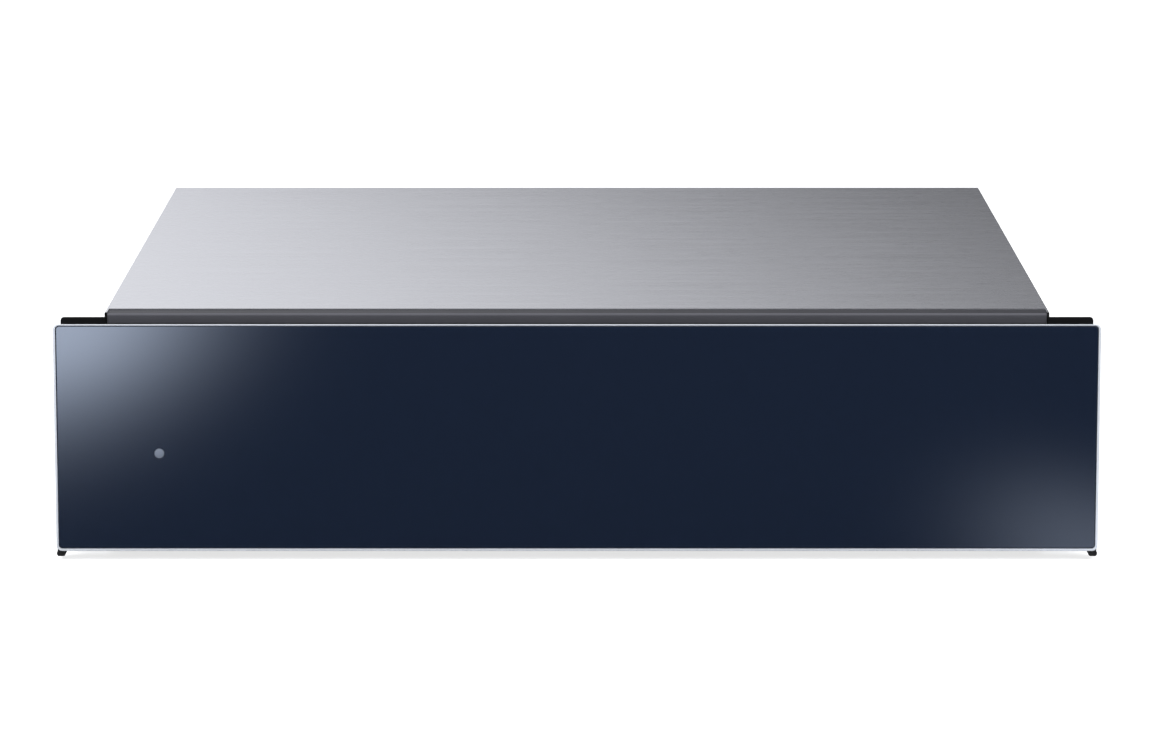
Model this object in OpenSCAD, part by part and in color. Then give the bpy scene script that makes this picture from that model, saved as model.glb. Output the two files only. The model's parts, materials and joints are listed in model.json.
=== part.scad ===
// Warming drawer for a 600 mm kitchen niche: a sheet-steel casing, a glass-fronted
// drawer on ball-bearing slides, and the fan, heater and controls that it carries.
// Millimetres. +X is to the right seen from the front, +Y to the back, +Z up.
// The origin is the middle of the footprint, on the surface the feet stand on.

/* [Overall] */
// Width of the drawer front
front_w = 595; // [580:1:620]
// Height from the shelf to the top of the casing
overall_h = 140; // [138:1:180]
// Depth from the face of the front to the rear screw heads
overall_d = 550; // [545:1:620]
// How far the front stands out past each side of the casing
front_overhang = 27.5; // [22:0.5:34]

/* [Casing] */
// Thickness of the brushed top cover
cover_t = 0.6; // [0.5:0.1:0.8]
// Thickness of the galvanised sheets and of the drawer's steel
sheet_t = 0.8; // [0.6:0.1:1.0]
// Height of the cover's folded skirt
skirt_h = 12; // [11:0.5:12.5]
// Height of the rubber feet
foot_h = 3; // [2.5:0.5:5]
// Radius of the rubber feet
foot_r = 9; // [7:0.5:12]
// Distance from the face of the front to the casing's front frame
frame_setback = 22; // [21.5:0.1:26]
// Depth of the rail's top flange that shows in front of the cover
rail_ledge = 13.4; // [8:0.1:20]
// Whole depth of the rail's top flange
rail_flange = 38; // [30:1:50]
// Height of the rail
rail_h = 15.4; // [14:0.1:18]
// Height of the sill above the base plate
sill_h = 5.6; // [4:0.1:6]
// Thickness of the black side flanges
flange_t = 1.6; // [1.2:0.1:1.8]
// Gap from the side flange's outer edge to the edge of the front
flange_inset = 2.4; // [1:0.1:6]
// Radius of the side flange's outer corners
flange_corner_r = 2; // [1:0.1:4]
// Radius of the cabinet screw holes
cabinet_hole_r = 2.25; // [1.8:0.05:2.5]
// Height between the cabinet screws
cabinet_hole_pitch = 90; // [70:1:100]
// Thickness of the ceiling insulation
insulation_t = 12; // [10:0.5:12]

/* [Drawer front] */
// Gap from the top of the casing down to the front's top edge
front_drop = 3.1; // [2:0.1:6]
// Height of the front's lower edge above the shelf
front_lift = 5.3; // [5:0.1:7]
// Radius of the front's corners
front_corner_r = 3.1; // [2:0.1:6]
// Width of the aluminium rim seen from the front
rim_w = 1.2; // [0.8:0.1:2]
// Depth of the aluminium rim
rim_depth = 5.5; // [5:0.1:7]
// Thickness of the glass
glass_t = 4; // [3.5:0.1:4.5]
// How far the carrier lies inside the rim's outline
carrier_inset = 4; // [3:0.1:5]
// Thickness of the whole front, from the rim to the carrier's back
front_t = 17; // [16:0.1:18]
// Radius of the indicator lens
lens_r = 3.1; // [2.5:0.1:4]
// Distance of the indicator lens from the front's left edge
lens_inset = 59.5; // [45:0.5:90]
// Height of the indicator lens above the shelf
lens_z = 62; // [50:1:80]

/* [Drawer] */
// Room behind the drawer for the latch and the terminal box
rear_room = 71.4; // [64:0.1:90]
// Height of the tub's underside above the shelf
tub_lift = 12; // [11:0.5:13]
// Headroom from the tub's top edge to the top of the casing
headroom = 40; // [37:1:46]
// Depth of the fan chamber behind the air baffle
chamber_d = 60; // [56:1:62]
// Thickness of the anti-slip mat
mat_t = 2.5; // [1.5:0.1:4]
// Radius of the heater tube
heater_r = 3; // [2.5:0.1:3.5]
// Gap between the fan wheel and the heater tube
fan_gap = 2.5; // [2:0.1:8]
// Number of fan blades
fan_blades = 12; // [6:1:16]
// Radius of the thermostat knob
knob_r = 14; // [11:0.5:16]
// Height of the thermostat knob
knob_h = 11.5; // [9:0.1:12.5]

/* [Slides] */
// How far the slides end in front of the drawer's rear wall
slide_end_gap = 4.6; // [2:0.1:15]
// Length of the slides' members that stays engaged when the drawer is open
slide_overlap = 50; // [40:5:100]
// Height of the fixed slide member
slide_h = 45.6; // [44:0.1:48]
// Thickness of one whole slide
slide_t = 12.7; // [12.6:0.1:13.5]
// Thickness of the slide's steel
slide_steel = 1.2; // [1.0:0.05:1.3]
// Radius of the bearing balls
ball_r = 1.6; // [1.4:0.05:1.7]
// Number of balls in each row
balls_in_row = 8; // [4:1:12]

/* [Mains entry and latch] */
// Radius of the gland's bore for the supply cord
gland_bore_r = 4; // [3:0.25:5]
// Travel of the latch plunger when the closed front is pushed
latch_press = 3; // [2:0.1:3]

/* [Hidden] */
$fn = 64;
EPS = 0.01;
RUNNING = 0.05;         // radial clearance of a turning shaft
EASY = 0.2;             // clearance between pieces that are laid into each other
CLEAR = 0.3;            // least clearance between pieces that move past each other

// Names of the sub-parts

// Colours
BRUSHED = "#b9babf";
GALVANISED = "#a9adb2";
STAINLESS = "#c3c5c8";
DARK_STEEL = "#58595e";
BLACK = "#17171b";
RUBBER = "#1d1d1f";
NAVY = "#19233a";
SILVER = "#d6d9e0";
ZINC = "#c9ccd0";
WOOL = "#e6e2d6";
COPPER = "#a8643a";
IVORY = "#ddd8c8";
GREEN = "#2f6b45";

// y of a plane that lies a distance behind the face of the front
function behind(d) = d - overall_d / 2;

// Screws
screw_r = 1.5;
screw_hole_r = 1.7;
screw_head_r = 3.2;
screw_head_h = 2;

// Casing planes
casing_x = front_w / 2 - front_overhang;                        // outside of the cover's skirt
panel_x = casing_x - cover_t;                   // outside of the side panels
wall_x = panel_x - sheet_t;                     // inside of the side panels
skirt_y = overall_d / 2 - screw_head_h;         // outside of the cover's rear skirt
rear_y = skirt_y - cover_t;                     // outside of the rear panel
rear_in_y = rear_y - sheet_t;                   // inside of the rear panel
frame_y = behind(frame_setback);                // front of the rail, sill and steel flanges
under_cover_z = overall_h - cover_t;            // underside of the top cover
screw_row_z = overall_h - 6.6;                  // screws through the skirt
fold = 10;                                      // width of the sheets' folded edges

// Levels of the front
front_top_z = overall_h - front_drop;
front_h = front_top_z - front_lift;
front_mid_z = front_lift + front_h / 2;
glass_recess = 0.2;                             // how far the glass lies behind the rim's face
glass_back = glass_recess + glass_t;

// Drawer levels and planes
tub_top_z = overall_h - headroom;
tub_in_z = tub_lift + sheet_t;                  // top of the tub's floor
tub_x = wall_x - slide_t;                       // outside of the tub's walls
tub_in_x = tub_x - sheet_t;
front_wall_back = front_t + sheet_t;            // inside of the drawer's front wall
rear_wall_back = overall_d - rear_room;
rear_wall_front = rear_wall_back - sheet_t;
baffle_front = rear_wall_front - chamber_d;     // the drawer's inside ends here
slide_z = (tub_top_z + tub_lift) / 2;
slide_front = frame_setback + 2;                // front end of the slides
slide_length = rear_wall_back - slide_end_gap - slide_front;
travel = slide_length - slide_overlap;          // how far the drawer opens
lens_left = front_w / 2 - lens_inset;
lid_z = tub_top_z - sheet_t;                    // top of the fan chamber's lid
heater_z_low = tub_in_z + heater_r + 2.7;
heater_z_high = lid_z - sheet_t - heater_r - 1.9;
fan_z = (heater_z_low + heater_z_high) / 2;
fan_r = (heater_z_high - heater_z_low) / 2 - heater_r - fan_gap;

// ---------------------------------------------------------------- helpers

// Box between two corners
module block(low, high) {
    translate(low) cube(high - low);
}

// A drawing in x and z, given a thickness along y
module along_y(y0, y1) {
    translate([0, y1, 0]) rotate([90, 0, 0]) linear_extrude(y1 - y0) children();
}

// A drawing in y and z, given a length along x
module along_x(x0, x1) {
    translate([x0, 0, 0]) rotate([90, 0, 90]) linear_extrude(x1 - x0) children();
}

// Cylinders along each axis, starting at a point
module rod_x(p, r, l) {
    translate(p) rotate([0, 90, 0]) cylinder(r = r, h = l);
}
module rod_y(p, r, l) {
    translate(p) rotate([-90, 0, 0]) cylinder(r = r, h = l);
}
module rod_z(p, r, l) {
    translate(p) cylinder(r = r, h = l);
}

// Right-hand piece as it is, left-hand piece mirrored
module on_side(side) {
    if (side < 0) mirror([1, 0, 0]) children();
    else children();
}

module both_sides() {
    for (side = [-1, 1]) on_side(side) children();
}

// Rectangle between two corners with round corners
module round_rect(low, high, r) {
    translate(low + [r, 0]) square(high - low - [2 * r, 0]);
    translate(low + [0, r]) square(high - low - [0, 2 * r]);
    for (x = [low[0] + r, high[0] - r], y = [low[1] + r, high[1] - r])
        translate([x, y]) circle(r);
}

// Points of a quarter circle or other arc
function arc(c, r, a0, a1, n = 8) =
    [for (i = [0:n]) let (a = a0 + (a1 - a0) * i / n) c + r * [cos(a), sin(a)]];

// A tube swept along points, with flat ends
function unit(v) = v / norm(v);
function tangent(p, i) = unit(p[min(i + 1, len(p) - 1)] - p[max(i - 1, 0)]);
function side_of(t, up) = unit(cross(t, up));
module swept_tube(path, r, sides, up = [0, 0, 1]) {
    n = len(path);
    points = [for (i = [0:n - 1])
        let (t = tangent(path, i), s = side_of(t, up), u = cross(s, t))
        for (k = [0:sides - 1])
            let (a = 360 * k / sides) path[i] + r * (cos(a) * s + sin(a) * u)];
    walls = [for (i = [0:n - 2], k = [0:sides - 1])
        let (a = i * sides + k, b = i * sides + (k + 1) % sides)
        each [[a, b, a + sides], [b, b + sides, a + sides]]];
    caps = [for (k = [1:sides - 2]) each [
        [0, k + 1, k],
        [(n - 1) * sides, (n - 1) * sides + k, (n - 1) * sides + k + 1]]];
    polyhedron(points, concat(walls, caps));
}

// Pan-head screw whose shank starts under its head and runs along -z
module screw(shank) {
    cylinder(r = screw_head_r, h = screw_head_h * 0.6);
    translate([0, 0, screw_head_h * 0.6])
        cylinder(r1 = screw_head_r, r2 = screw_head_r * 0.6, h = screw_head_h * 0.4);
    translate([0, 0, -shank]) cylinder(r = screw_r, h = shank + EPS);
}

// ---------------------------------------------------------------- casing

// Places of the skirt screws: distances behind the front at the sides, x at the back
first_side_screw = frame_setback + 68;
last_side_screw = overall_d - 70;
side_screw_setbacks = [first_side_screw, (first_side_screw + last_side_screw) / 2, last_side_screw];
outer_rear_screw_x = casing_x - 70;
inner_rear_screw_x = 70;
rear_screw_xs = [-1, -inner_rear_screw_x / outer_rear_screw_x,
    inner_rear_screw_x / outer_rear_screw_x, 1] * outer_rear_screw_x;
rear_low_screw_zs = [25, 75];
sheet_screw_l = 6;                              // shank of the screws that hold the sheets
rear_low_screw_x = wall_x - fold / 2;

module side_screw_places() {
    for (side = [-1, 1], d = side_screw_setbacks)
        translate([side * casing_x, behind(d), screw_row_z]) rotate([0, side * 90, 0]) children();
}

module rear_screw_places() {
    for (x = rear_screw_xs)
        translate([x, skirt_y, screw_row_z]) rotate([-90, 0, 0]) children();
}

module rear_low_screw_places() {
    for (side = [-1, 1], z = rear_low_screw_zs)
        translate([side * rear_low_screw_x, rear_y, z]) rotate([-90, 0, 0]) children();
}

module screw_drill() {
    translate([0, 0, -2 * sheet_screw_l]) cylinder(r = screw_hole_r, h = 3 * sheet_screw_l);
}

cover_front_y = behind(frame_setback + rail_ledge);
cover_strip_w = cover_t + sheet_t;              // narrow strip beside the rail's ledge
skirt_notch = 2.6;                              // how far down the strip's skirt reaches

// Brushed steel lid with a skirt on three sides, cut back over the rail's ledge
module top_cover() {
    color(BRUSHED) difference() {
        union() {
            block([-casing_x, cover_front_y, under_cover_z], [casing_x, skirt_y, overall_h]);
            both_sides() {
                block([casing_x - cover_strip_w, frame_y, under_cover_z],
                    [casing_x, cover_front_y + EPS, overall_h]);
                block([panel_x, frame_y, overall_h - skirt_notch],
                    [casing_x, cover_front_y, under_cover_z + EPS]);
                block([panel_x, frame_y + sheet_t + EASY, overall_h - skirt_h],
                    [casing_x, skirt_y, under_cover_z + EPS]);
            }
            block([-casing_x, rear_y, overall_h - skirt_h], [casing_x, skirt_y, under_cover_z + EPS]);
        }
        side_screw_places() screw_drill();
        rear_screw_places() screw_drill();
    }
}

flange_hole_x = (panel_x + front_w / 2 - flange_inset) / 2;
flange_hole_mid_z = front_mid_z;
flange_top_z = front_top_z + 0.5;
flange_bottom_z = front_lift + 2;

module flange_holes(y0, y1) {
    for (dz = [-1, 1] * cabinet_hole_pitch / 2)
        rod_y([flange_hole_x, y0, flange_hole_mid_z + dz], cabinet_hole_r, y1 - y0);
}

vent_w = 3;
side_vents = 8;
side_vent_pitch = 10;
side_vent_h = 30;
side_vent_front = overall_d - 130;              // first slot, behind the face of the front
side_vent_low = tub_top_z - 14;

slide_screw_setbacks = [for (f = [0.08, 0.4, 0.7, 0.93]) slide_front + f * slide_length];

// Galvanised side wall: front flange turned out, top and rear edges turned in
module side_panel(side) {
    color(GALVANISED) on_side(side) difference() {
        union() {
            block([wall_x, frame_y, foot_h], [panel_x, rear_in_y, under_cover_z]);
            block([wall_x, frame_y, flange_bottom_z],
                [front_w / 2 - flange_inset - 3, frame_y + sheet_t, flange_top_z - 0.2]);
            block([wall_x - fold, behind(frame_setback + rail_flange + 1), under_cover_z - sheet_t],
                [wall_x + EPS, rear_in_y, under_cover_z]);
            block([wall_x - fold, rear_in_y - sheet_t, foot_h + 11],
                [wall_x + EPS, rear_in_y, ceiling_z - CLEAR]);
        }
        flange_holes(frame_y - 1, frame_y + sheet_t + 1);
        for (i = [0:side_vents - 1]) {
            y = behind(side_vent_front + i * side_vent_pitch);
            block([wall_x - 1, y, side_vent_low], [panel_x + 1, y + vent_w, side_vent_low + side_vent_h]);
        }
        for (d = slide_screw_setbacks)
            rod_x([wall_x - 1, behind(d), slide_z], screw_hole_r, sheet_t + 2);
        side_screw_places() screw_drill();
        rear_low_screw_places() screw_drill();
    }
}

outer_bead_x = casing_x - 80;
inner_bead_x = 80;
bead_xs = [-outer_bead_x, -inner_bead_x, inner_bead_x, outer_bead_x];
bead_w = 24;
bead_h = 2.5;
base_edge_h = 10;
base_x = wall_x - EASY;
foot_x = casing_x - 35;
foot_inset = 28;
foot_setbacks = [frame_setback + foot_inset, overall_d - foot_inset];
foot_stem_r = 3;

// Upper or lower line of the base sheet, with its pressed beads
function base_line(z) = [
    for (x = bead_xs) each [
        [x - bead_w / 2, z], [x - bead_w / 2 + bead_h, z + bead_h],
        [x + bead_w / 2 - bead_h, z + bead_h], [x + bead_w / 2, z]]];
function reversed(p) = [for (i = [len(p) - 1:-1:0]) p[i]];

// Galvanised floor of the casing with four stiffening beads and turned-up edges
module base_plate() {
    color(GALVANISED) difference() {
        along_y(frame_y + sheet_t + EASY, rear_in_y - sheet_t - EASY)
            polygon(concat(
                [[-base_x, foot_h + base_edge_h], [-base_x, foot_h]],
                base_line(foot_h),
                [[base_x, foot_h], [base_x, foot_h + base_edge_h],
                    [base_x - sheet_t, foot_h + base_edge_h], [base_x - sheet_t, foot_h + sheet_t]],
                reversed(base_line(foot_h + sheet_t)),
                [[-base_x + sheet_t, foot_h + sheet_t], [-base_x + sheet_t, foot_h + base_edge_h]]));
        foot_places() rod_z([0, 0, foot_h - 1], foot_stem_r + EASY, sheet_t + 2);
    }
}

module foot_places() {
    for (x = [-foot_x, foot_x], d = foot_setbacks) translate([x, behind(d), 0]) children();
}

// Four moulded feet, each with a stem through the base plate and a retaining bead
module rubber_feet() {
    color(RUBBER) foot_places() {
        cylinder(r1 = foot_r - 1, r2 = foot_r, h = 1);
        rod_z([0, 0, 1 - EPS], foot_r, foot_h - 1 + EPS);
        rod_z([0, 0, foot_h - EPS], foot_stem_r, sheet_t + 1 + EPS);
        rod_z([0, 0, foot_h + sheet_t + EASY], foot_stem_r + 1, 1.5);
    }
}

rear_vents = 16;
rear_vent_pitch = 12;
rear_vent_x = -110;                             // left edge of the first slot
rear_vent_z = 34;
rear_vent_h = 44;

// Galvanised back with ventilation slots and the hole for the mains gland
module rear_panel() {
    color(GALVANISED) difference() {
        block([-panel_x, rear_in_y, foot_h], [panel_x, rear_y, under_cover_z]);
        rod_y([gland_x, rear_in_y - 1, gland_z], gland_outer_r + EASY, sheet_t + 2);
        for (i = [0:rear_vents - 1]) {
            x = rear_vent_x + i * rear_vent_pitch;
            block([x, rear_in_y - 1, rear_vent_z], [x + vent_w, rear_y + 1, rear_vent_z + rear_vent_h]);
        }
        rear_screw_places() screw_drill();
        rear_low_screw_places() screw_drill();
    }
}

rail_x = wall_x - EASY;
rail_bend_r = 1.4;
rail_bottom_z = under_cover_z - rail_h;
rail_foot = 18;                                 // depth of the rail's bottom flange

// Dark rail across the top of the opening: a C section with a rounded front bend
module front_rail() {
    top = under_cover_z;
    inner_r = rail_bend_r - sheet_t;
    color(DARK_STEEL) along_x(-rail_x, rail_x) polygon(concat(
        [[behind(frame_setback + rail_flange), top]],
        arc([frame_y + rail_bend_r, top - rail_bend_r], rail_bend_r, 90, 180),
        [[frame_y, rail_bottom_z], [frame_y + rail_foot, rail_bottom_z],
            [frame_y + rail_foot, rail_bottom_z + sheet_t],
            [frame_y + sheet_t, rail_bottom_z + sheet_t]],
        reversed(arc([frame_y + rail_bend_r, top - rail_bend_r], inner_r, 90, 180)),
        [[behind(frame_setback + rail_flange), top - sheet_t]]));
}

sill_top_z = foot_h + sheet_t + sill_h;
sill_d = 12;
sill_x = base_x - sheet_t - EASY;

// Folded strip across the bottom of the opening
module front_sill() {
    color(DARK_STEEL) along_x(-sill_x, sill_x) polygon([
        [frame_y, foot_h], [frame_y + sheet_t, foot_h],
        [frame_y + sheet_t, sill_top_z - sheet_t], [frame_y + sill_d, sill_top_z - sheet_t],
        [frame_y + sill_d, sill_top_z], [frame_y, sill_top_z]]);
}

// Black flange that covers the gap beside the niche and takes the cabinet screws
module side_flange(side) {
    y0 = frame_y - flange_t;
    color(BLACK) on_side(side) difference() {
        along_y(y0, frame_y) intersection() {
            round_rect([panel_x - 10, flange_bottom_z],
                [front_w / 2 - flange_inset, flange_top_z], flange_corner_r);
            translate([panel_x, 0]) square([front_w, overall_h]);
        }
        flange_holes(y0 - 1, frame_y + 1);
        for (dz = [-1, 1] * cabinet_hole_pitch / 2)
            translate([flange_hole_x, y0 - EPS, flange_hole_mid_z + dz]) rotate([-90, 0, 0])
                cylinder(r1 = cabinet_hole_r + 0.8, r2 = cabinet_hole_r, h = 0.8);
    }
}

seal_h = 7;
seal_top_z = overall_h - 6.2;
low_seal_bottom_z = front_lift + carrier_inset - 3;

// Strips of black sponge above and below the opening
module front_seals() {
    y0 = frame_y - flange_t;
    color(RUBBER) {
        block([-rail_x, y0, seal_top_z - seal_h], [rail_x, frame_y, seal_top_z]);
        block([-rail_x, y0, low_seal_bottom_z], [rail_x, frame_y, sill_top_z]);
    }
}

ceiling_edge_z = under_cover_z - sheet_t - EASY;
ceiling_z = ceiling_edge_z - insulation_t - sheet_t;
ceiling_front = frame_setback + rail_flange + 1;

// Aluminised tray under the cover that holds the insulation
module ceiling_tray() {
    y0 = behind(ceiling_front);
    color(GALVANISED) difference() {
        block([-wall_x, y0, ceiling_z], [wall_x, rear_in_y, ceiling_edge_z]);
        block([-wall_x + sheet_t, y0 + sheet_t, ceiling_z + sheet_t],
            [wall_x - sheet_t, rear_in_y - sheet_t, overall_h]);
        side_screw_places() screw_drill();
        rear_screw_places() screw_drill();
    }
}

screw_room = 7;                                 // room for the screw points beside the wool

// Mineral wool slab in the ceiling tray
module insulation_mat() {
    color(WOOL) block(
        [-wall_x + screw_room, behind(ceiling_front) + sheet_t, ceiling_z + sheet_t],
        [wall_x - screw_room, rear_in_y - screw_room, ceiling_edge_z]);
}

// Screws of the skirt and of the rear panel
module casing_screws() {
    color(ZINC) {
        side_screw_places() screw(sheet_screw_l);
        rear_screw_places() screw(sheet_screw_l);
        rear_low_screw_places() screw(sheet_screw_l);
    }
}

// Screws that hold the fixed slide members to the side panels
module slide_screws() {
    color(ZINC) for (side = [-1, 1], d = slide_screw_setbacks)
        translate([side * panel_x, behind(d), slide_z]) rotate([0, side * 90, 0])
            screw(sheet_t + slide_steel);
}

// ---------------------------------------------------------------- slides
// Sections are drawn from the casing's wall (u = 0) towards the drawer, and up from
// the middle of the slide (w = 0).

race_gap = 2 * ball_r + 0.6;                    // height between two facing races
cage_t = 0.6;
outer_half = slide_h / 2;
outer_race = outer_half - slide_steel;
middle_half = outer_race - race_gap;
middle_race = middle_half - slide_steel;
inner_half = middle_race - race_gap;
outer_cage_u = slide_steel + CLEAR;
middle_u = outer_cage_u + cage_t + CLEAR;
inner_cage_u = middle_u + slide_steel + CLEAR;
inner_flange_u = inner_cage_u + cage_t + CLEAR;
outer_flange_end = slide_t - 3.2;
middle_flange_end = slide_t - slide_steel - CLEAR - 0.7;
cage_length = slide_length - travel / 2 - 12;
cage_front = slide_front + travel / 4 + 6;

module slide_section() {
    translate([wall_x, slide_z]) mirror([1, 0]) children();
}

// Channel with its back at u0 and its flanges reaching to u1
module channel(u0, u1, half, t) {
    translate([min(u0, u0 + t * sign(u1 - u0)), -half]) square([t, 2 * half]);
    for (w = [-half, half - t])
        translate([min(u0, u1), w]) square([abs(u1 - u0), t]);
}

// Fixed member, screwed to the casing
module slide_outer(side) {
    color(ZINC) on_side(side) difference() {
        along_y(behind(slide_front), behind(slide_front + slide_length))
            slide_section() channel(0, outer_flange_end, outer_half, slide_steel);
        for (d = slide_screw_setbacks)
            rod_x([wall_x - slide_steel - 1, behind(d), slide_z], screw_hole_r, slide_steel + 2);
    }
}

// Middle member, which moves half as far as the drawer
module slide_middle(side) {
    color(ZINC) on_side(side) along_y(behind(slide_front), behind(slide_front + slide_length))
        slide_section() channel(middle_u, middle_flange_end, middle_half, slide_steel);
}

// Drawer member, fixed to the tub
module slide_inner(side) {
    color(ZINC) on_side(side) along_y(behind(slide_front), behind(slide_front + slide_length))
        slide_section() channel(slide_t, inner_flange_u, inner_half, slide_steel);
}

// Two rows of balls in a pressed retainer: u is its back, half its ball rows' height
module ball_cage(side, u, ball_u, row_w) {
    y0 = behind(cage_front);
    pitch = cage_length / balls_in_row;
    color(ZINC) on_side(side) {
        difference() {
            along_y(y0, y0 + cage_length) slide_section()
                channel(u, ball_u + ball_r + 1, row_w + cage_t / 2, cage_t);
            for (i = [0:balls_in_row - 1], w = [-row_w, row_w])
                rod_z([wall_x - ball_u, y0 + (i + 0.5) * pitch, slide_z + w - 1], ball_r + 0.1, 2);
        }
        for (i = [0:balls_in_row - 1], w = [-row_w, row_w])
            translate([wall_x - ball_u, y0 + (i + 0.5) * pitch, slide_z + w]) sphere(ball_r);
    }
}

module ball_cage_outer(side) {
    ball_cage(side, outer_cage_u, (middle_u + outer_flange_end) / 2, outer_race - race_gap / 2);
}

module ball_cage_inner(side) {
    ball_cage(side, inner_cage_u, (inner_flange_u + middle_flange_end) / 2, middle_race - race_gap / 2);
}

// ---------------------------------------------------------------- mains entry and latch

gland_x = casing_x - 85;
gland_z = overall_h / 2 + 5;
gland_outer_r = gland_bore_r + 4;
gland_collar_r = gland_outer_r + 3;
gland_collar_t = 2;
gland_length = 19;
box_w = 70;
box_h = 50;
box_d = 34;
box_wall = 2;

// Moulded box behind the rear panel that covers the terminal block
module terminal_box() {
    y0 = rear_in_y - box_d;
    color(BLACK) difference() {
        block([gland_x - box_w / 2, y0, gland_z - box_h / 2],
            [gland_x + box_w / 2, rear_in_y, gland_z + box_h / 2]);
        block([gland_x - box_w / 2 + box_wall, y0 + box_wall, gland_z - box_h / 2 + box_wall],
            [gland_x + box_w / 2 - box_wall, rear_in_y + 1, gland_z + box_h / 2 - box_wall]);
    }
}

// Bush through the rear panel with the bore that takes the supply cord
module mains_gland() {
    color(BLACK) difference() {
        union() {
            rod_y([gland_x, rear_y, gland_z], gland_collar_r, gland_collar_t);
            rod_y([gland_x, rear_y + gland_collar_t - gland_length, gland_z], gland_outer_r,
                gland_length - gland_collar_t + EPS);
            rod_y([gland_x, rear_in_y - EASY - 4, gland_z], gland_collar_r, 4);
        }
        rod_y([gland_x, rear_in_y - gland_length - 1, gland_z], gland_bore_r, gland_length + 5);
    }
}

terminal_pitch = 14;

// Three-pole terminal block with clamp screws and entry holes
module terminal_block() {
    y0 = rear_in_y - box_d + box_wall + 3;
    z0 = gland_z - box_h / 2 + box_wall;
    color(IVORY) difference() {
        union() {
            block([gland_x - 24, y0, z0], [gland_x + 24, y0 + 11, z0 + 4]);
            for (i = [-1:1])
                block([gland_x + i * terminal_pitch - 5.5, y0, z0],
                    [gland_x + i * terminal_pitch + 5.5, y0 + 11, z0 + 11]);
        }
        for (i = [-1:1]) {
            rod_y([gland_x + i * terminal_pitch, y0 - 1, z0 + 6], 2, 13);
            rod_z([gland_x + i * terminal_pitch, y0 + 5.5, z0 + 6], 1.8, 6);
        }
    }
}

latch_z = 28;
latch_w = 32;
latch_plate = 2;
nose_r = 6;
plunger_r = 9;
plunger_wall = 2.5;
striker_back = rear_wall_back + 3;
nose_front = striker_back + 0.4;
latch_front = nose_front + 18;
latch_length = 40;
latch_top_z = latch_z + 16;
spring_wire_r = 0.7;
spring_coil_r = 4.9;
spring_turns = 7;
plunger_front = latch_front + latch_plate + CLEAR;
plunger_back = plunger_front + 16;
cup_front = plunger_front + 4;
latch_back = latch_front + latch_length - latch_plate;
spring_front = cup_front + 0.1;
spring_back = latch_back - latch_press - CLEAR;

// Housing of the push latch, on the base plate behind the drawer
module latch_housing() {
    floor_z = foot_h + sheet_t;
    color(BLACK) difference() {
        union() {
            block([-latch_w / 2, behind(latch_front), floor_z],
                [latch_w / 2, behind(latch_front + latch_length), latch_top_z]);
            block([-latch_w / 2 - 10, behind(latch_front), floor_z],
                [latch_w / 2 + 10, behind(latch_front + latch_length), floor_z + 3]);
        }
        rod_y([0, behind(latch_front - 1), latch_z], nose_r + RUNNING, latch_plate + 2);
        rod_y([0, behind(latch_front + latch_plate), latch_z], plunger_r + CLEAR,
            latch_length - 2 * latch_plate);
        for (side = [-1, 1], d = [8, latch_length - 8])
            rod_z([side * (latch_w / 2 + 5), behind(latch_front + d), floor_z - 1], 2, 6);
    }
}

// Plunger that the closed drawer pushes in, hollow behind for its spring
module latch_plunger() {
    color(IVORY) difference() {
        union() {
            rod_y([0, behind(nose_front), latch_z], nose_r, plunger_front - nose_front + EPS);
            rod_y([0, behind(plunger_front), latch_z], plunger_r, plunger_back - plunger_front);
        }
        rod_y([0, behind(cup_front), latch_z], plunger_r - plunger_wall, 20);
    }
}

// Compression spring in the plunger's cup, drawn at its pressed length
module latch_spring() {
    first = spring_front + spring_wire_r;
    last = spring_back - spring_wire_r;
    steps = spring_turns * 20;
    color(ZINC) swept_tube([for (i = [0:steps])
        let (a = 360 * spring_turns * i / steps)
            [spring_coil_r * cos(a), behind(first + (last - first) * i / steps),
                latch_z + spring_coil_r * sin(a)]],
        spring_wire_r, 8, [0, 1, 0]);
}

// ---------------------------------------------------------------- drawer box

tub_lip = 6;
bend_r = 3;
inner_wall_x = tub_in_x - EASY;

// Half of the tub's section: floor, rounded bend, side and outward lip
function tub_side() = concat(
    arc([tub_x - bend_r, tub_lift + bend_r], bend_r, -90, 0),
    [[tub_x, tub_top_z - sheet_t], [tub_x + tub_lip, tub_top_z - sheet_t],
        [tub_x + tub_lip, tub_top_z], [tub_in_x, tub_top_z]],
    reversed(arc([tub_x - bend_r, tub_lift + bend_r], bend_r - sheet_t, -90, 0)));

// Floor and side walls of the drawer, folded from one stainless sheet
module drawer_tub() {
    half = tub_side();
    color(STAINLESS) along_y(behind(front_t), behind(rear_wall_back))
        polygon(concat(half, [for (p = reversed(half)) [-p[0], p[1]]]));
}

front_screw_x = inner_wall_x - 44.9;
front_screw_xs = [-1, -1 / 3, 1 / 3, 1] * front_screw_x;
front_screw_zs = [tub_lift + 14, tub_top_z - 8];
front_screw_l = 8;

module front_screw_places() {
    for (x = front_screw_xs, z = front_screw_zs)
        translate([x, behind(front_wall_back), z]) rotate([-90, 0, 0]) children();
}

// Front end wall of the drawer, with a stiffening lip along its foot
module drawer_front_wall() {
    color(STAINLESS) difference() {
        along_x(-inner_wall_x, inner_wall_x) polygon([
            [behind(front_t), tub_in_z + EASY + sheet_t], [behind(front_t), tub_top_z],
            [behind(front_wall_back), tub_top_z],
            [behind(front_wall_back), tub_in_z + EASY + sheet_t]]);
        front_screw_places() screw_drill();
        end_wall_corner(-1);
        end_wall_corner(1);
    }
}

// Cuts an end wall's foot clear of the tub's bend
module end_wall_corner(side) {
    on_side(side) block([inner_wall_x - bend_r, behind(-1), 0],
        [inner_wall_x + 1, behind(rear_wall_back + 1), tub_in_z + bend_r]);
}

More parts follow.
